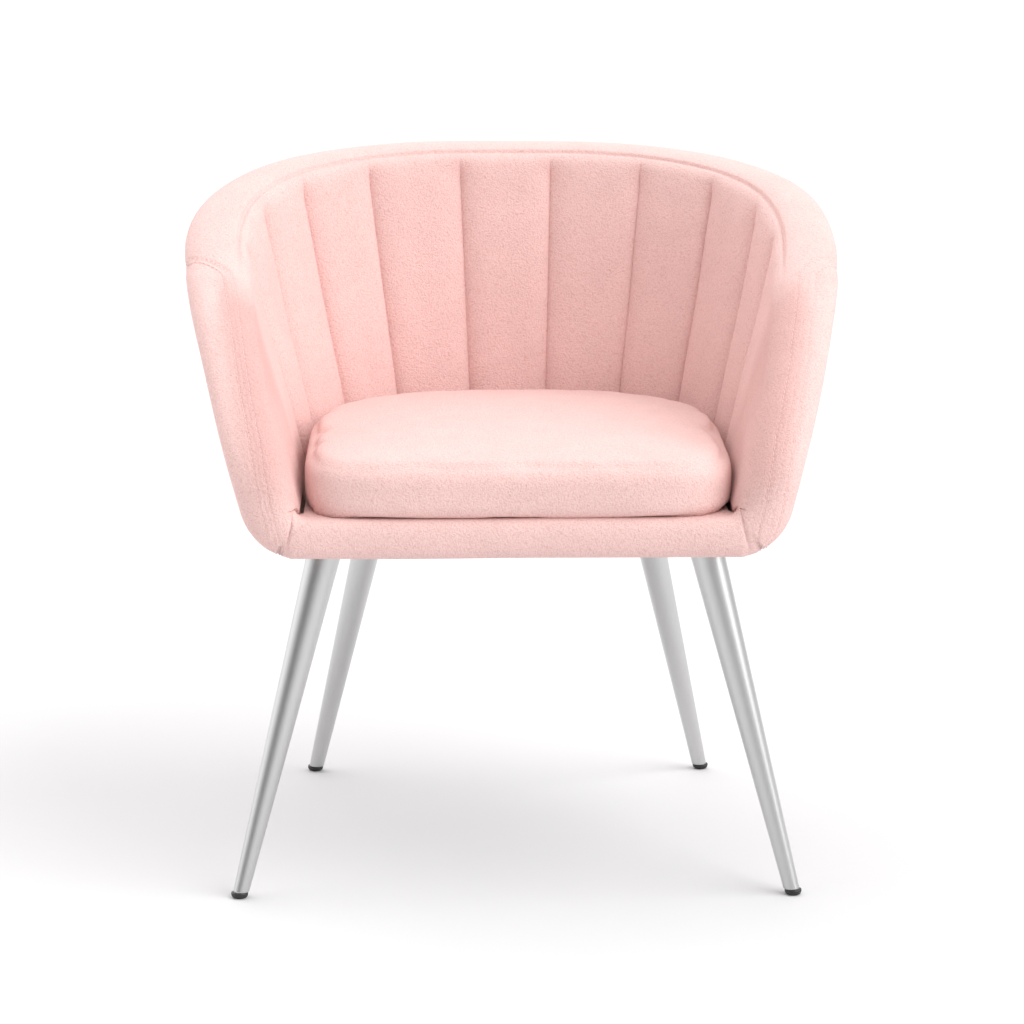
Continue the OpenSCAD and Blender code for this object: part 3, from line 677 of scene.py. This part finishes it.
def add(tree, kind, **settings):
    node = tree.nodes.new(kind)
    for key, value in settings.items():
        if hasattr(node, key):
            setattr(node, key, value)
        else:
            node.inputs[key.replace("_", " ")].default_value = value
    return node


def ramp(tree, stops):
    node = tree.nodes.new("ShaderNodeValToRGB")
    while len(node.color_ramp.elements) < len(stops):
        node.color_ramp.elements.new(0.5)
    for element, (place, colour) in zip(node.color_ramp.elements, stops):
        element.position = place
        element.color = (*colour, 1)
    return node


# Painted shade along the fronts of the arms: how far it darkens red, green and blue, where its line
# lies in from the shell's skin, and how far it spreads from that line. It fades in forwards and
# upwards
ARM_FRONT_PAINTED_SHADE = (0.17, 0.26, 0.27)
PAINTED_SHADE_IN = 0.054
PAINTED_SHADE_SPREAD = 0.036
PAINTED_SHADE_Y = (-0.060, -0.130)
PAINTED_SHADE_Z = (0.385, 0.455)


def eased(tree, value, start, end):
    """0 at start and 1 at end, with soft ends."""
    node = add(tree, "ShaderNodeMapRange", interpolation_type="SMOOTHSTEP")
    node.inputs["From Min"].default_value = start
    node.inputs["From Max"].default_value = end
    tree.links.new(value, node.inputs["Value"])
    return node.outputs[0]


def feed(tree, socket, value):
    """Links an input to another socket, or sets it to a plain value."""
    if isinstance(value, bpy.types.NodeSocket):
        tree.links.new(value, socket)
    else:
        socket.default_value = value


def joined(tree, operation, *values):
    """A maths node on one or two numbers or sockets."""
    node = add(tree, "ShaderNodeMath", operation=operation)
    for socket, value in zip(node.inputs, values):
        feed(tree, socket, value)
    return node.outputs[0]


def tinted(tree, colour, factor, tint):
    """A colour multiplied by a tint, as far as the factor says."""
    node = add(tree, "ShaderNodeMix", data_type="RGBA", blend_type="MULTIPLY")
    for place, value in ((0, factor), (6, colour), (7, tint)):
        feed(tree, node.inputs[place], value)
    return node.outputs[2]


def painted_shade_mask(tree, place):
    """1 along the middle of each arm's front, where shade is painted into the cloth's colour, fading
    to 0 round it.
    """
    split = add(tree, "ShaderNodeSeparateXYZ")
    tree.links.new(place.outputs["Object"], split.inputs[0])
    leaned = joined(tree, "MULTIPLY", split.outputs["Z"], SIDE_FLARE)
    upright = joined(tree, "SUBTRACT", joined(tree, "ABSOLUTE", split.outputs["X"]), leaned)
    line = BASE_HALF_W - SIDE_FLARE * BASE_Z - PAINTED_SHADE_IN
    away = joined(tree, "ABSOLUTE", joined(tree, "SUBTRACT", upright, line))
    near = eased(tree, away, PAINTED_SHADE_SPREAD, 0.004)
    forward = eased(tree, split.outputs["Y"], *PAINTED_SHADE_Y)
    high = eased(tree, split.outputs["Z"], *PAINTED_SHADE_Z)
    return joined(tree, "MULTIPLY", joined(tree, "MULTIPLY", near, forward), high)


# Turns and scales of the two sets of yarn ends, and how far noise bends them
YARN_ENDS = (((0.3, 0.75, 0.4), (300, 620, 620)), ((-0.4, -0.7, -0.5), (620, 620, 300)))
YARN_WANDER = 0.0014
YARN_HEIGHT = 0.0011
PATCH_DARKEST = 0.955


def roughen(tree, shader, height, strength, distance, invert=False):
    """Bumps the surface by a height socket."""
    bump = add(tree, "ShaderNodeBump", invert=invert, Strength=strength, Distance=distance)
    tree.links.new(height, bump.inputs["Height"])
    tree.links.new(bump.outputs[0], shader.inputs["Normal"])


def stretched(tree, source, scale, turn=(0, 0, 0)):
    mapping = add(tree, "ShaderNodeMapping", Scale=scale, Rotation=turn)
    tree.links.new(source, mapping.inputs["Vector"])
    return mapping.outputs[0]


def boucle(name, light, dark, painted_shade=False):
    """Nubby woven cloth: short slanting yarn ends over a fine weave."""
    material, tree, shader = node_material(name)
    link = tree.links.new
    place = add(tree, "ShaderNodeTexCoord")
    warp = add(tree, "ShaderNodeTexNoise", Scale=420.0, Detail=1.0)
    link(place.outputs["Object"], warp.inputs["Vector"])
    mixed = add(tree, "ShaderNodeVectorMath", operation="MULTIPLY_ADD")
    mixed.inputs[1].default_value = (YARN_WANDER,) * 3
    link(warp.outputs["Color"], mixed.inputs[0])
    link(place.outputs["Object"], mixed.inputs[2])
    tufts = []
    for turn, stretch in YARN_ENDS:
        cell = add(tree, "ShaderNodeTexVoronoi", feature="SMOOTH_F1", Scale=1.0, Smoothness=0.35)
        link(stretched(tree, mixed.outputs[0], stretch, turn), cell.inputs["Vector"])
        tufts.append(cell.outputs["Distance"])
    both = joined(tree, "MINIMUM", *tufts)
    fuzz = add(tree, "ShaderNodeTexNoise", Scale=1900.0, Detail=2.0)
    link(place.outputs["Object"], fuzz.inputs["Vector"])
    height = add(tree, "ShaderNodeMath", operation="MULTIPLY_ADD")
    height.inputs[1].default_value = -0.35
    link(fuzz.outputs["Factor" if "Factor" in fuzz.outputs else "Fac"], height.inputs[0])
    link(both, height.inputs[2])
    # The colour runs from light on each yarn end to darker between them, painted shade in the crevices
    # of the pile
    colour = ramp(tree, [(0.10, light), (0.55, tuple((a + b) / 2 for a, b in zip(light, dark))),
                         (0.92, dark)])
    link(both, colour.inputs[0])
    patch = add(tree, "ShaderNodeTexNoise", Scale=30.0, Detail=3.0)
    link(place.outputs["Object"], patch.inputs["Vector"])
    tone = ramp(tree, [(0.3, (PATCH_DARKEST,) * 3), (0.7, (1.0,) * 3)])
    link(patch.outputs[0], tone.inputs[0])
    cloth_colour = tinted(tree, colour.outputs[0], 1.0, tone.outputs[0])
    # Painted shade: the cloth's colour darkens along the middle of each arm's front
    if painted_shade:
        cloth_colour = tinted(tree, cloth_colour, painted_shade_mask(tree, place),
                              (*(1 - v for v in ARM_FRONT_PAINTED_SHADE), 1))
    link(cloth_colour, shader.inputs["Base Color"])
    roughen(tree, shader, height.outputs[0], 0.8, YARN_HEIGHT, invert=True)
    shader.inputs["Roughness"].default_value = 0.92
    shader.inputs["Specular IOR Level"].default_value = 0.18
    shader.inputs["Sheen Weight"].default_value = 0.22
    shader.inputs["Sheen Roughness"].default_value = 0.45
    shader.inputs["Sheen Tint"].default_value = (1.0, 0.93, 0.92, 1)
    return material


def brushed_steel(name, tint, rough):
    """Satin steel, brushed along its length."""
    material, tree, shader = node_material(name)
    link = tree.links.new
    place = add(tree, "ShaderNodeTexCoord")
    lines = add(tree, "ShaderNodeTexNoise", Scale=1.0, Detail=3.0)
    link(stretched(tree, place.outputs["Object"], (900, 900, 14)), lines.inputs["Vector"])
    colour = ramp(tree, [(0.3, tuple(0.96 * c for c in tint)), (0.7, tint)])
    link(lines.outputs[0], colour.inputs[0])
    link(colour.outputs[0], shader.inputs["Base Color"])
    gloss = add(tree, "ShaderNodeMapRange")
    gloss.inputs["To Min"].default_value = rough - 0.02
    gloss.inputs["To Max"].default_value = rough + 0.04
    link(lines.outputs[0], gloss.inputs["Value"])
    link(gloss.outputs[0], shader.inputs["Roughness"])
    roughen(tree, shader, lines.outputs[0], 0.03, 0.0001)
    shader.inputs["Metallic"].default_value = 1.0
    return material


def speckled(name, light, dark, scale, rough, bump_depth=0.0002, stretch=(1, 1, 1)):
    """A plain finish with fine grain: moulded plastic, board, wood, dust cloth or thread."""
    material, tree, shader = node_material(name)
    link = tree.links.new
    place = add(tree, "ShaderNodeTexCoord")
    grain = add(tree, "ShaderNodeTexNoise", Scale=scale, Detail=5.0)
    link(stretched(tree, place.outputs["Object"], stretch), grain.inputs["Vector"])
    colour = ramp(tree, [(0.3, dark), (0.7, light)])
    link(grain.outputs[0], colour.inputs[0])
    link(colour.outputs[0], shader.inputs["Base Color"])
    roughen(tree, shader, grain.outputs[0], 0.5, bump_depth)
    shader.inputs["Roughness"].default_value = rough
    return material


PINK_LIGHT = (0.92, 0.650, 0.620)
PINK_DARK = (0.76, 0.450, 0.415)
fabric = boucle("boucle", PINK_LIGHT, PINK_DARK)
# The shell's cloth carries painted shade along the fronts of the arms
shell_fabric_painted_shade = boucle("boucle_shell_painted_shade", PINK_LIGHT, PINK_DARK, painted_shade=True)
thread = speckled("thread", (0.90, 0.66, 0.63), (0.80, 0.53, 0.50), 2600, 0.75, 0.0001)
steel = brushed_steel("satin_steel", (0.59, 0.59, 0.59), 0.29)
zinc = brushed_steel("zinc_steel", (0.66, 0.67, 0.70), 0.36)
glide_plastic = speckled("glide_plastic", (0.022, 0.022, 0.023), (0.012, 0.012, 0.013),
                         1400, 0.42, 0.00005)
dust_cloth = speckled("dust_cloth", (0.035, 0.035, 0.037), (0.010, 0.010, 0.011), 900, 0.95, 0.0003)
plywood = speckled("birch_plywood", (0.72, 0.55, 0.36), (0.58, 0.42, 0.26), 60, 0.6,
                   stretch=(8, 1, 20))
board = speckled("lining_board", (0.40, 0.28, 0.17), (0.30, 0.20, 0.12), 200, 0.8)
foam_finish = speckled("foam", (0.85, 0.80, 0.62), (0.72, 0.66, 0.48), 700, 0.95, 0.0006)
webbing = speckled("elastic_webbing", (0.06, 0.06, 0.07), (0.03, 0.03, 0.035), 800, 0.9, 0.0003)

# --- Upholstery pieces ------------------------------------------------------------

all_cols = list(range(len(ring))) + [0]
shell_cols = list(range(last_rail, len(ring))) + list(range(first_rail + 1))
rail_cols = list(range(first_rail, last_rail + 1))

outer = ring_piece("outer_fabric", all_cols, 0, R1, shell_fabric_painted_shade)
rim = ring_piece("rim_fabric", shell_cols, R1, R2, shell_fabric_painted_shade)
inner = ring_piece("channel_fabric", shell_cols, R2, grid.shape[1] - 1, shell_fabric_painted_shade)
rail = ring_piece("front_rail_fabric", rail_cols, R1, grid.shape[1] - 1, fabric)


STITCH_L = 0.0048
STITCH_SPACE = 0.0014
STITCH_R = 0.00042
# Along a stitch: places as shares of its length, heights over the cloth, and shares of its girth
STITCH_AT = np.array([0, 0.12, 0.35, 0.65, 0.88, 1])
STITCH_LIFT = np.array([-0.0005, 0.0001, 0.0003, 0.0003, 0.0001, -0.0005])
STITCH_GIRTH = STITCH_R * np.array([0.5, 0.9, 1, 1, 0.9, 0.5])
STITCH_SIDES = 6
# The rows of stitches end this far above the lower edge
STITCH_END_H = 0.008


def stitch_row(curve_s, col_list):
    """Thread stitches along a line at arc length curve_s of each column."""
    line, up = [], []
    for c in col_list:
        s = curve_s[c]
        line.append([np.interp(s, grid_s[c], shell[c, :, k]) for k in range(3)])
        up.append([np.interp(s, grid_s[c], shell_normals[c, :, k]) for k in range(3)])
    line, up = np.array(line), np.array(up)
    steps = np.concatenate([[0], np.cumsum(np.linalg.norm(np.diff(line, axis=0), axis=1))])
    points, faces = [], []
    around, rings = STITCH_SIDES, len(STITCH_AT)
    for start in np.arange(0.004, steps[-1] - STITCH_L, STITCH_L + STITCH_SPACE):
        places = start + STITCH_L * STITCH_AT
        centre = np.stack([np.interp(places, steps, line[:, k]) for k in range(3)], 1)
        n = np.stack([np.interp(places, steps, up[:, k]) for k in range(3)], 1)
        along = centre[-1] - centre[0]
        along /= max(1e-9, np.linalg.norm(along))
        n -= (n @ along)[:, None] * along
        n /= np.maximum(1e-9, np.linalg.norm(n, axis=1, keepdims=True))
        side = np.cross(along, n)
        base = len(points)
        for i in range(rings):
            for k in range(around):
                w = 2 * math.pi * k / around
                points.append(centre[i] + n[i] * STITCH_LIFT[i]
                              + STITCH_GIRTH[i] * (math.cos(w) * n[i] + math.sin(w) * side[i]))
        for i in range(rings - 1):
            for k in range(around):
                a, b = base + i * around + k, base + i * around + (k + 1) % around
                faces.append((a, b, b + around, a + around))
        faces.append(tuple(base + k for k in range(around - 1, -1, -1)))
        faces.append(tuple(base + (rings - 1) * around + k for k in range(around)))
    return points, faces


points, faces = [], []
stitched_cols = [c for c in shell_cols if grid[c, R1, 2] > BASE_Z + STITCH_END_H]
for sign in (-1, 1):
    p, f = stitch_row((seam1_s + sign * stitch_half)[:, 0], stitched_cols)
    faces += [tuple(i + len(points) for i in face) for face in f]
    points += p
stitches = new_object("topstitching", points, faces, thread)

# --- Seat cushion -----------------------------------------------------------------

CUSHION_Z = DECK_Z + 0.0004
CUSHION_HALF_W = 0.216
CUSHION_BACK_Y = 0.157
CUSHION_FRONT_Y = -0.283
CUSHION_EDGE_Z = 0.455
CUSHION_CROWN = 0.020
CORNER_POWER = 7
CROWN_CENTRE = np.array([0.0, -0.060])
ZIP_Y = 0.060
ZIP_HALF_L = 0.154
ZIP_HALF_SLOT = 0.0085
ZIP_DEPTH = 0.0085
CUSHION_SHIFT_X = 0.003
# The blank before it is filled: wider than the cushion all round, and lower
BLANK_OUT = 0.002
BLANK_LOW_Z = CUSHION_Z + 0.0005
BLANK_HIGH_Z = CUSHION_EDGE_Z - 0.009
BLANK_CROWN = CUSHION_CROWN - 0.010
BLANK_FOOT_R = 0.005
BLANK_SHOULDER_R = 0.016
VOXEL = 0.005
# How far filling slides a point of the cloth, lets it sink on the foam, and lifts it off
SLIDE = 0.002
SINK = 0.0012
RISE = 0.0050
FILL_FRAMES = 20
# Depths of the front corners' seams and of the side seam
CORNER_SEAM = 0.0026
SIDE_SEAM = 0.0016


def cushion_outline(inset, n=160):
    """Plan of the cushion, clockwise from above: a squared ellipse behind, squarer in front."""
    m = 2 * np.pi * np.arange(n) / n
    s, c = np.sin(m), np.cos(m)
    back = c >= 0
    power = np.where(back, PLAN_POWER, CORNER_POWER)
    depth = np.where(back, CUSHION_BACK_Y - ARM_START_Y, ARM_START_Y - CUSHION_FRONT_Y)
    x = np.sign(s) * (CUSHION_HALF_W - inset) * np.abs(s) ** (2 / power)
    y = ARM_START_Y + np.where(back, 1, -1) * (depth - inset) * np.abs(c) ** (2 / power)
    return np.stack([x, y], 1)


def cushion_blank():
    """Closed cushion form before it is filled, built of rings from the underside to the crown."""
    rows = []
    foot, shoulder = BLANK_FOOT_R, BLANK_SHOULDER_R

    def ring_at(inset, shrink, z):
        xy = CROWN_CENTRE + (cushion_outline(inset - BLANK_OUT) - CROWN_CENTRE) * shrink
        rows.append(np.column_stack([xy, np.full(len(xy), z)]))

    for r in (0.05, 0.3, 0.6, 0.85):
        ring_at(foot, r, BLANK_LOW_Z)
    for r in np.radians(np.linspace(0, 90, 5)):
        ring_at(foot * (1 - math.sin(r)), 1, BLANK_LOW_Z + foot * (1 - math.cos(r)))
    for r in np.radians(np.linspace(0, 90, 6)):
        ring_at(shoulder * (1 - math.cos(r)), 1, BLANK_HIGH_Z - shoulder * (1 - math.sin(r)))
    for r in (0.86, 0.72, 0.55, 0.35, 0.15, 0.04):
        ring_at(shoulder, r, BLANK_HIGH_Z + BLANK_CROWN * (1 - r**2.4))
    n = len(rows[0])
    points = np.concatenate(rows)
    faces = [tuple(range(n - 1, -1, -1))]
    for i in range(len(rows) - 1):
        for m in range(n):
            a, b = i * n + m, i * n + (m + 1) % n
            faces.append((a, b, b + n, a + n))
    faces.append(tuple((len(rows) - 1) * n + m for m in range(n)))
    # cushion_outline runs clockwise from above, so the faces turn over
    return points, [tuple(reversed(f)) for f in faces]


def evaluated(obj):
    depsgraph = bpy.context.evaluated_depsgraph_get()
    return bpy.data.meshes.new_from_object(obj.evaluated_get(depsgraph))


def vertex_array(mesh, field="co"):
    values = np.empty(len(mesh.vertices) * 3)
    mesh.vertices.foreach_get(field, values)
    return values.reshape(-1, 3)


def fill_cushion(obj):
    """Pressure fills the cloth. The foam core keeps it from sinking in, and no point slides far."""
    start = vertex_array(obj.data)
    out = vertex_array(obj.data, "normal")
    cloth = obj.modifiers.new("cloth", "CLOTH")
    cloth.settings.quality = 6
    cloth.settings.mass = 0.3
    cloth.settings.tension_stiffness = 22
    cloth.settings.compression_stiffness = 22
    cloth.settings.shear_stiffness = 8
    cloth.settings.bending_stiffness = 2.5
    cloth.settings.use_pressure = True
    cloth.settings.uniform_pressure_force = 4
    cloth.settings.effector_weights.gravity = 0
    cloth.point_cache.frame_start = 1
    cloth.point_cache.frame_end = FILL_FRAMES
    for f in range(1, FILL_FRAMES + 1):
        scene.frame_set(f)
    move = vertex_array(evaluated(obj)) - start
    scene.frame_set(1)
    obj.modifiers.clear()
    rise = np.sum(move * out, axis=1, keepdims=True)
    slide = move - rise * out
    size = np.linalg.norm(slide, axis=1, keepdims=True)
    slide *= np.minimum(1, SLIDE / np.maximum(size, 1e-9))
    moved = start + slide + out * np.clip(rise, -SINK, RISE)
    obj.data.vertices.foreach_set("co", moved.ravel())
    obj.data.update()


def sew_cushion(co):
    """Flattens the underside on the deck and presses in the seams and the zip's recess."""
    co[:, 2] = np.maximum(co[:, 2], CUSHION_Z)
    near = co[:, 2] < CUSHION_Z + 0.004
    inside = ((np.abs(co[:, 0]) < CUSHION_HALF_W - 0.014) & (co[:, 1] > CUSHION_FRONT_Y + 0.012)
              & (co[:, 1] < CUSHION_BACK_Y - 0.014))
    co[near & inside, 2] = CUSHION_Z
    # Corner seams of the front, fading out at the top
    for side in (-1, 1):
        d = np.abs(co[:, 0] - side * (CUSHION_HALF_W - 0.010))
        front = smooth((CUSHION_FRONT_Y + 0.030 - co[:, 1]) / 0.02)
        tall = smooth((CUSHION_EDGE_Z + 0.002 - co[:, 2]) / 0.02)
        co[:, 1] += groove(d, (CORNER_SEAM, 0.0028)) * front * tall
    # Side band's seam, level with the cushion's shoulder
    radial = co[:, :2] - CROWN_CENTRE
    reach = np.linalg.norm(radial, axis=1, keepdims=True)
    edge = groove(co[:, 2] - (CUSHION_EDGE_Z - 0.012), (SIDE_SEAM, 0.0026))
    edge *= smooth((co[:, 1] - CUSHION_FRONT_Y - 0.03) / 0.03)
    co[:, :2] -= radial / np.maximum(reach, 1e-6) * edge[:, None] * (reach > 0.15)
    slot = smooth((ZIP_HALF_SLOT - np.abs(co[:, 1] - ZIP_Y)) / 0.003)
    slot *= smooth((ZIP_HALF_L + 0.002 - np.abs(co[:, 0])) / 0.003)
    low = co[:, 2] < CUSHION_Z + 0.006
    co[low, 2] += ZIP_DEPTH * slot[low]
    # All but the underside leans a little to the sitter's left
    co[:, 0] += CUSHION_SHIFT_X * smooth((co[:, 2] - CUSHION_Z - 0.0005) / 0.006)


def make_cushion():
    points, faces = cushion_blank()
    obj = new_object("seat_cushion_fabric", points, faces, fabric)
    remesh = obj.modifiers.new("remesh", "REMESH")
    remesh.mode = "VOXEL"
    remesh.voxel_size = VOXEL
    obj.data = evaluated(obj)
    obj.modifiers.clear()
    fill_cushion(obj)
    smoothing = obj.modifiers.new("smooth", "SMOOTH")
    smoothing.factor = 0.5
    smoothing.iterations = 4
    sub = obj.modifiers.new("sub", "SUBSURF")
    sub.levels = 1
    obj.data = evaluated(obj)
    obj.modifiers.clear()
    mesh = obj.data
    co = vertex_array(mesh)
    sew_cushion(co)
    mesh.vertices.foreach_set("co", co.ravel())
    mesh.polygons.foreach_set("use_smooth", [True] * len(mesh.polygons))
    mesh.update()
    return obj


cushion = make_cushion()

# --- Legs --------------------------------------------------------------------------

LEG_TOP_R = 0.0176
LEG_FOOT_R = 0.0078
GLIDE_H = 0.006
BOARD_Z = BASE_Z + 0.004
PLATE_T = 0.003
PLATE_Z = BOARD_Z - PLATE_T
# Top and foot of each leg in plan, on the +X side
FEET = {"front": ((0.191, -0.207), (0.281, -0.265)), "rear": ((0.140, 0.112), (0.220, 0.197))}
CORNERS = [(end, word) for end in ("front", "rear") for word in ("left", "right")]
SIGN = {"left": 1, "right": -1}
# The lip round the foot: heights over the glide and insets, from its inner edge
LIP = ((0.0006, 0.0012), (0.0, 0.0004), (0.0004, 0.0), (0.0016, 0.0))
LEG_SIDES, LEG_STEPS = 72, 24
GLIDE_SIDES = 48
# Radius and height round the glide's outline, from the middle of its face
GLIDE_PROFILE = (
    (0.0, 0.0), (0.0045, 0.0), (0.0060, 0.0003), (0.0074, 0.0010), (0.0082, 0.0022),
    (0.0086, 0.0035), (0.0087, 0.0046), (0.0085, 0.0056), (0.0078, 0.0061), (0.0, 0.0062),
)


def tube_faces(rings, around, flip=False):
    """Quads round a stack of rings with the same number of points."""
    faces = []
    for i in range(rings - 1):
        for k in range(around):
            a, b = i * around + k, i * around + (k + 1) % around
            faces.append((a, a + around, b + around, b) if flip else (a, b, b + around, a + around))
    return faces


def make_leg(end, word):
    """Tapered tube, trimmed level at the glide and at the plate, with a rolled lip at its foot."""
    (tx, ty), (fx, fy) = FEET[end]
    foot = np.array([SIGN[word] * fx, fy, 0.0])
    top = np.array([SIGN[word] * tx, ty, PLATE_Z])
    axis = top - foot
    length = np.linalg.norm(axis)
    axis /= length
    u = np.cross(axis, [0, 1, 0])
    u /= np.linalg.norm(u)
    v = np.cross(axis, u)
    slope = (LEG_TOP_R - LEG_FOOT_R) / length
    lip_h = LIP[-1][0]
    levels = [(GLIDE_H + h, inset) for h, inset in LIP]
    levels += [(GLIDE_H + lip_h + (PLATE_Z - GLIDE_H - lip_h) * (k + 1) / LEG_STEPS, 0.0)
               for k in range(LEG_STEPS)]
    points = []
    for z, inset in levels:
        for k in range(LEG_SIDES):
            w = 2 * math.pi * k / LEG_SIDES
            n = math.cos(w) * u + math.sin(w) * v
            t = (z - (LEG_FOOT_R - inset) * n[2]) / (axis[2] + slope * n[2])
            points.append(foot + axis * t + (LEG_FOOT_R - inset + slope * t) * n)
    faces = tube_faces(len(levels), LEG_SIDES, flip=True)
    return new_object(f"steel_leg_{end}_{word}", points, faces, steel)


def make_glide(end, word):
    """Domed plastic glide with a soft lower edge."""
    x, y = SIGN[word] * FEET[end][1][0], FEET[end][1][1]
    points = []
    for r, z in GLIDE_PROFILE:
        for k in range(GLIDE_SIDES):
            w = 2 * math.pi * k / GLIDE_SIDES
            points.append((x + r * math.cos(w), y + r * math.sin(w), z))
    faces = tube_faces(len(GLIDE_PROFILE), GLIDE_SIDES)
    return new_object(f"plastic_glide_{end}_{word}", points, faces, glide_plastic)


legs = {corner: make_leg(*corner) for corner in CORNERS}
glides = {corner: make_glide(*corner) for corner in CORNERS}

# --- Materials on the CAD parts that stay -------------------------------------------

CAD_FINISH = (
    (plywood, ["seat_board", "back_rail", "front_rail", "back_upright_centre"] + [
        f"{part}_{word}" for word in SIGN
        for part in ("arm_rail", "back_upright", "corner_upright", "side_upright")]),
    (zinc, ["frame_screws", "dust_cover_staples", "zip_slider", "leg_bolts", "leg_t_nuts"] + [
        f"leg_plate_{end}_{word}" for end, word in CORNERS]),
    (board, ["outer_lining"]),
    (webbing, ["back_support_webbing"]),
    (foam_finish, ["deck_foam"]),
    (fabric, ["deck_cover", "zip_tape"]),
    (dust_cloth, ["dust_cover"]),
)
for material, names in CAD_FINISH:
    for name in names:
        nodes[name].data.materials.clear()
        nodes[name].data.materials.append(material)

# --- What rides on what ---------------------------------------------------------------

for piece in (outer, rim, inner, rail, stitches):
    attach(piece, "chair")
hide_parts("outer_cover", "outer_foam")
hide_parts("rim_cover", "rim_foam")
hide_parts("inner_cover", "inner_foam")
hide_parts("front_rail_cover", "front_rail_foam")
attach(cushion, "seat_cushion")
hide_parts("cushion_core", "cushion_wadding", "cushion_top_cover",
            "cushion_side_band", "cushion_bottom_cover")
for (end, word), leg in legs.items():
    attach(leg, "chair")
    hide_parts(f"leg_{end}_{word}")
for (end, word), glide in glides.items():
    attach(glide, "chair")
    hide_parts(f"glide_{end}_{word}")

# --- Floor, light and surroundings -------------------------------------------------------


FLOOR_HALF = 40.0
FLOOR_LIGHT, FLOOR_DARK = (0.712, 0.712, 0.720), (0.702, 0.702, 0.710)


def make_floor():
    half = FLOOR_HALF
    floor_material = speckled("floor", FLOOR_LIGHT, FLOOR_DARK, 3.0, 0.9, 0.00001)
    points = [(-half, -half, 0), (half, -half, 0), (half, half, 0), (-half, half, 0)]
    floor = new_object("floor", points, [(0, 1, 2, 3)], floor_material)


# The studio: brightness all round, then lobes of light, each with its direction and gain, and
# a broad key light, with its spread in degrees and the direction it comes from
WALL_ALL = 0.10
LOBES = (((0.94, -0.34, 0.0), 0.65), ((-0.70, 0.70, 0.0), 1.50), ((0.0, 0.10, 0.99), 1.02))
KEY_STRENGTH = 1.9
KEY_SPREAD = 60
KEY_FROM = Vector((0.70, -0.33, 0.63))


def make_light():
    world = bpy.data.worlds.new("studio")
    world.use_nodes = True
    tree = world.node_tree
    link = tree.links.new
    background = tree.nodes["Background"]
    background.inputs["Color"].default_value = (1, 1, 1, 1)
    place = add(tree, "ShaderNodeTexCoord")
    total = WALL_ALL
    for direction, gain in LOBES:
        toward = add(tree, "ShaderNodeVectorMath", operation="DOT_PRODUCT")
        link(place.outputs["Generated"], toward.inputs[0])
        toward.inputs[1].default_value = [gain * v for v in direction]
        positive = joined(tree, "MAXIMUM", toward.outputs["Value"], 0)
        total = joined(tree, "ADD", positive, total)
    # The walls behind the chair show plain white
    seen = add(tree, "ShaderNodeLightPath")
    mix = add(tree, "ShaderNodeMix", data_type="FLOAT")
    link(seen.outputs["Is Camera Ray"], mix.inputs[0])
    link(total, mix.inputs[2])
    mix.inputs[3].default_value = 1.0
    link(mix.outputs[0], background.inputs["Strength"])
    scene.world = world
    sun = bpy.data.lights.new("key", "SUN")
    sun.energy = KEY_STRENGTH
    sun.angle = math.radians(KEY_SPREAD)
    lamp = bpy.data.objects.new("key", sun)
    lamp.rotation_euler = (-KEY_FROM).to_track_quat("-Z", "Y").to_euler()
    scene.collection.objects.link(lamp)
    scene.view_settings.view_transform = "Standard"


make_floor()
make_light()
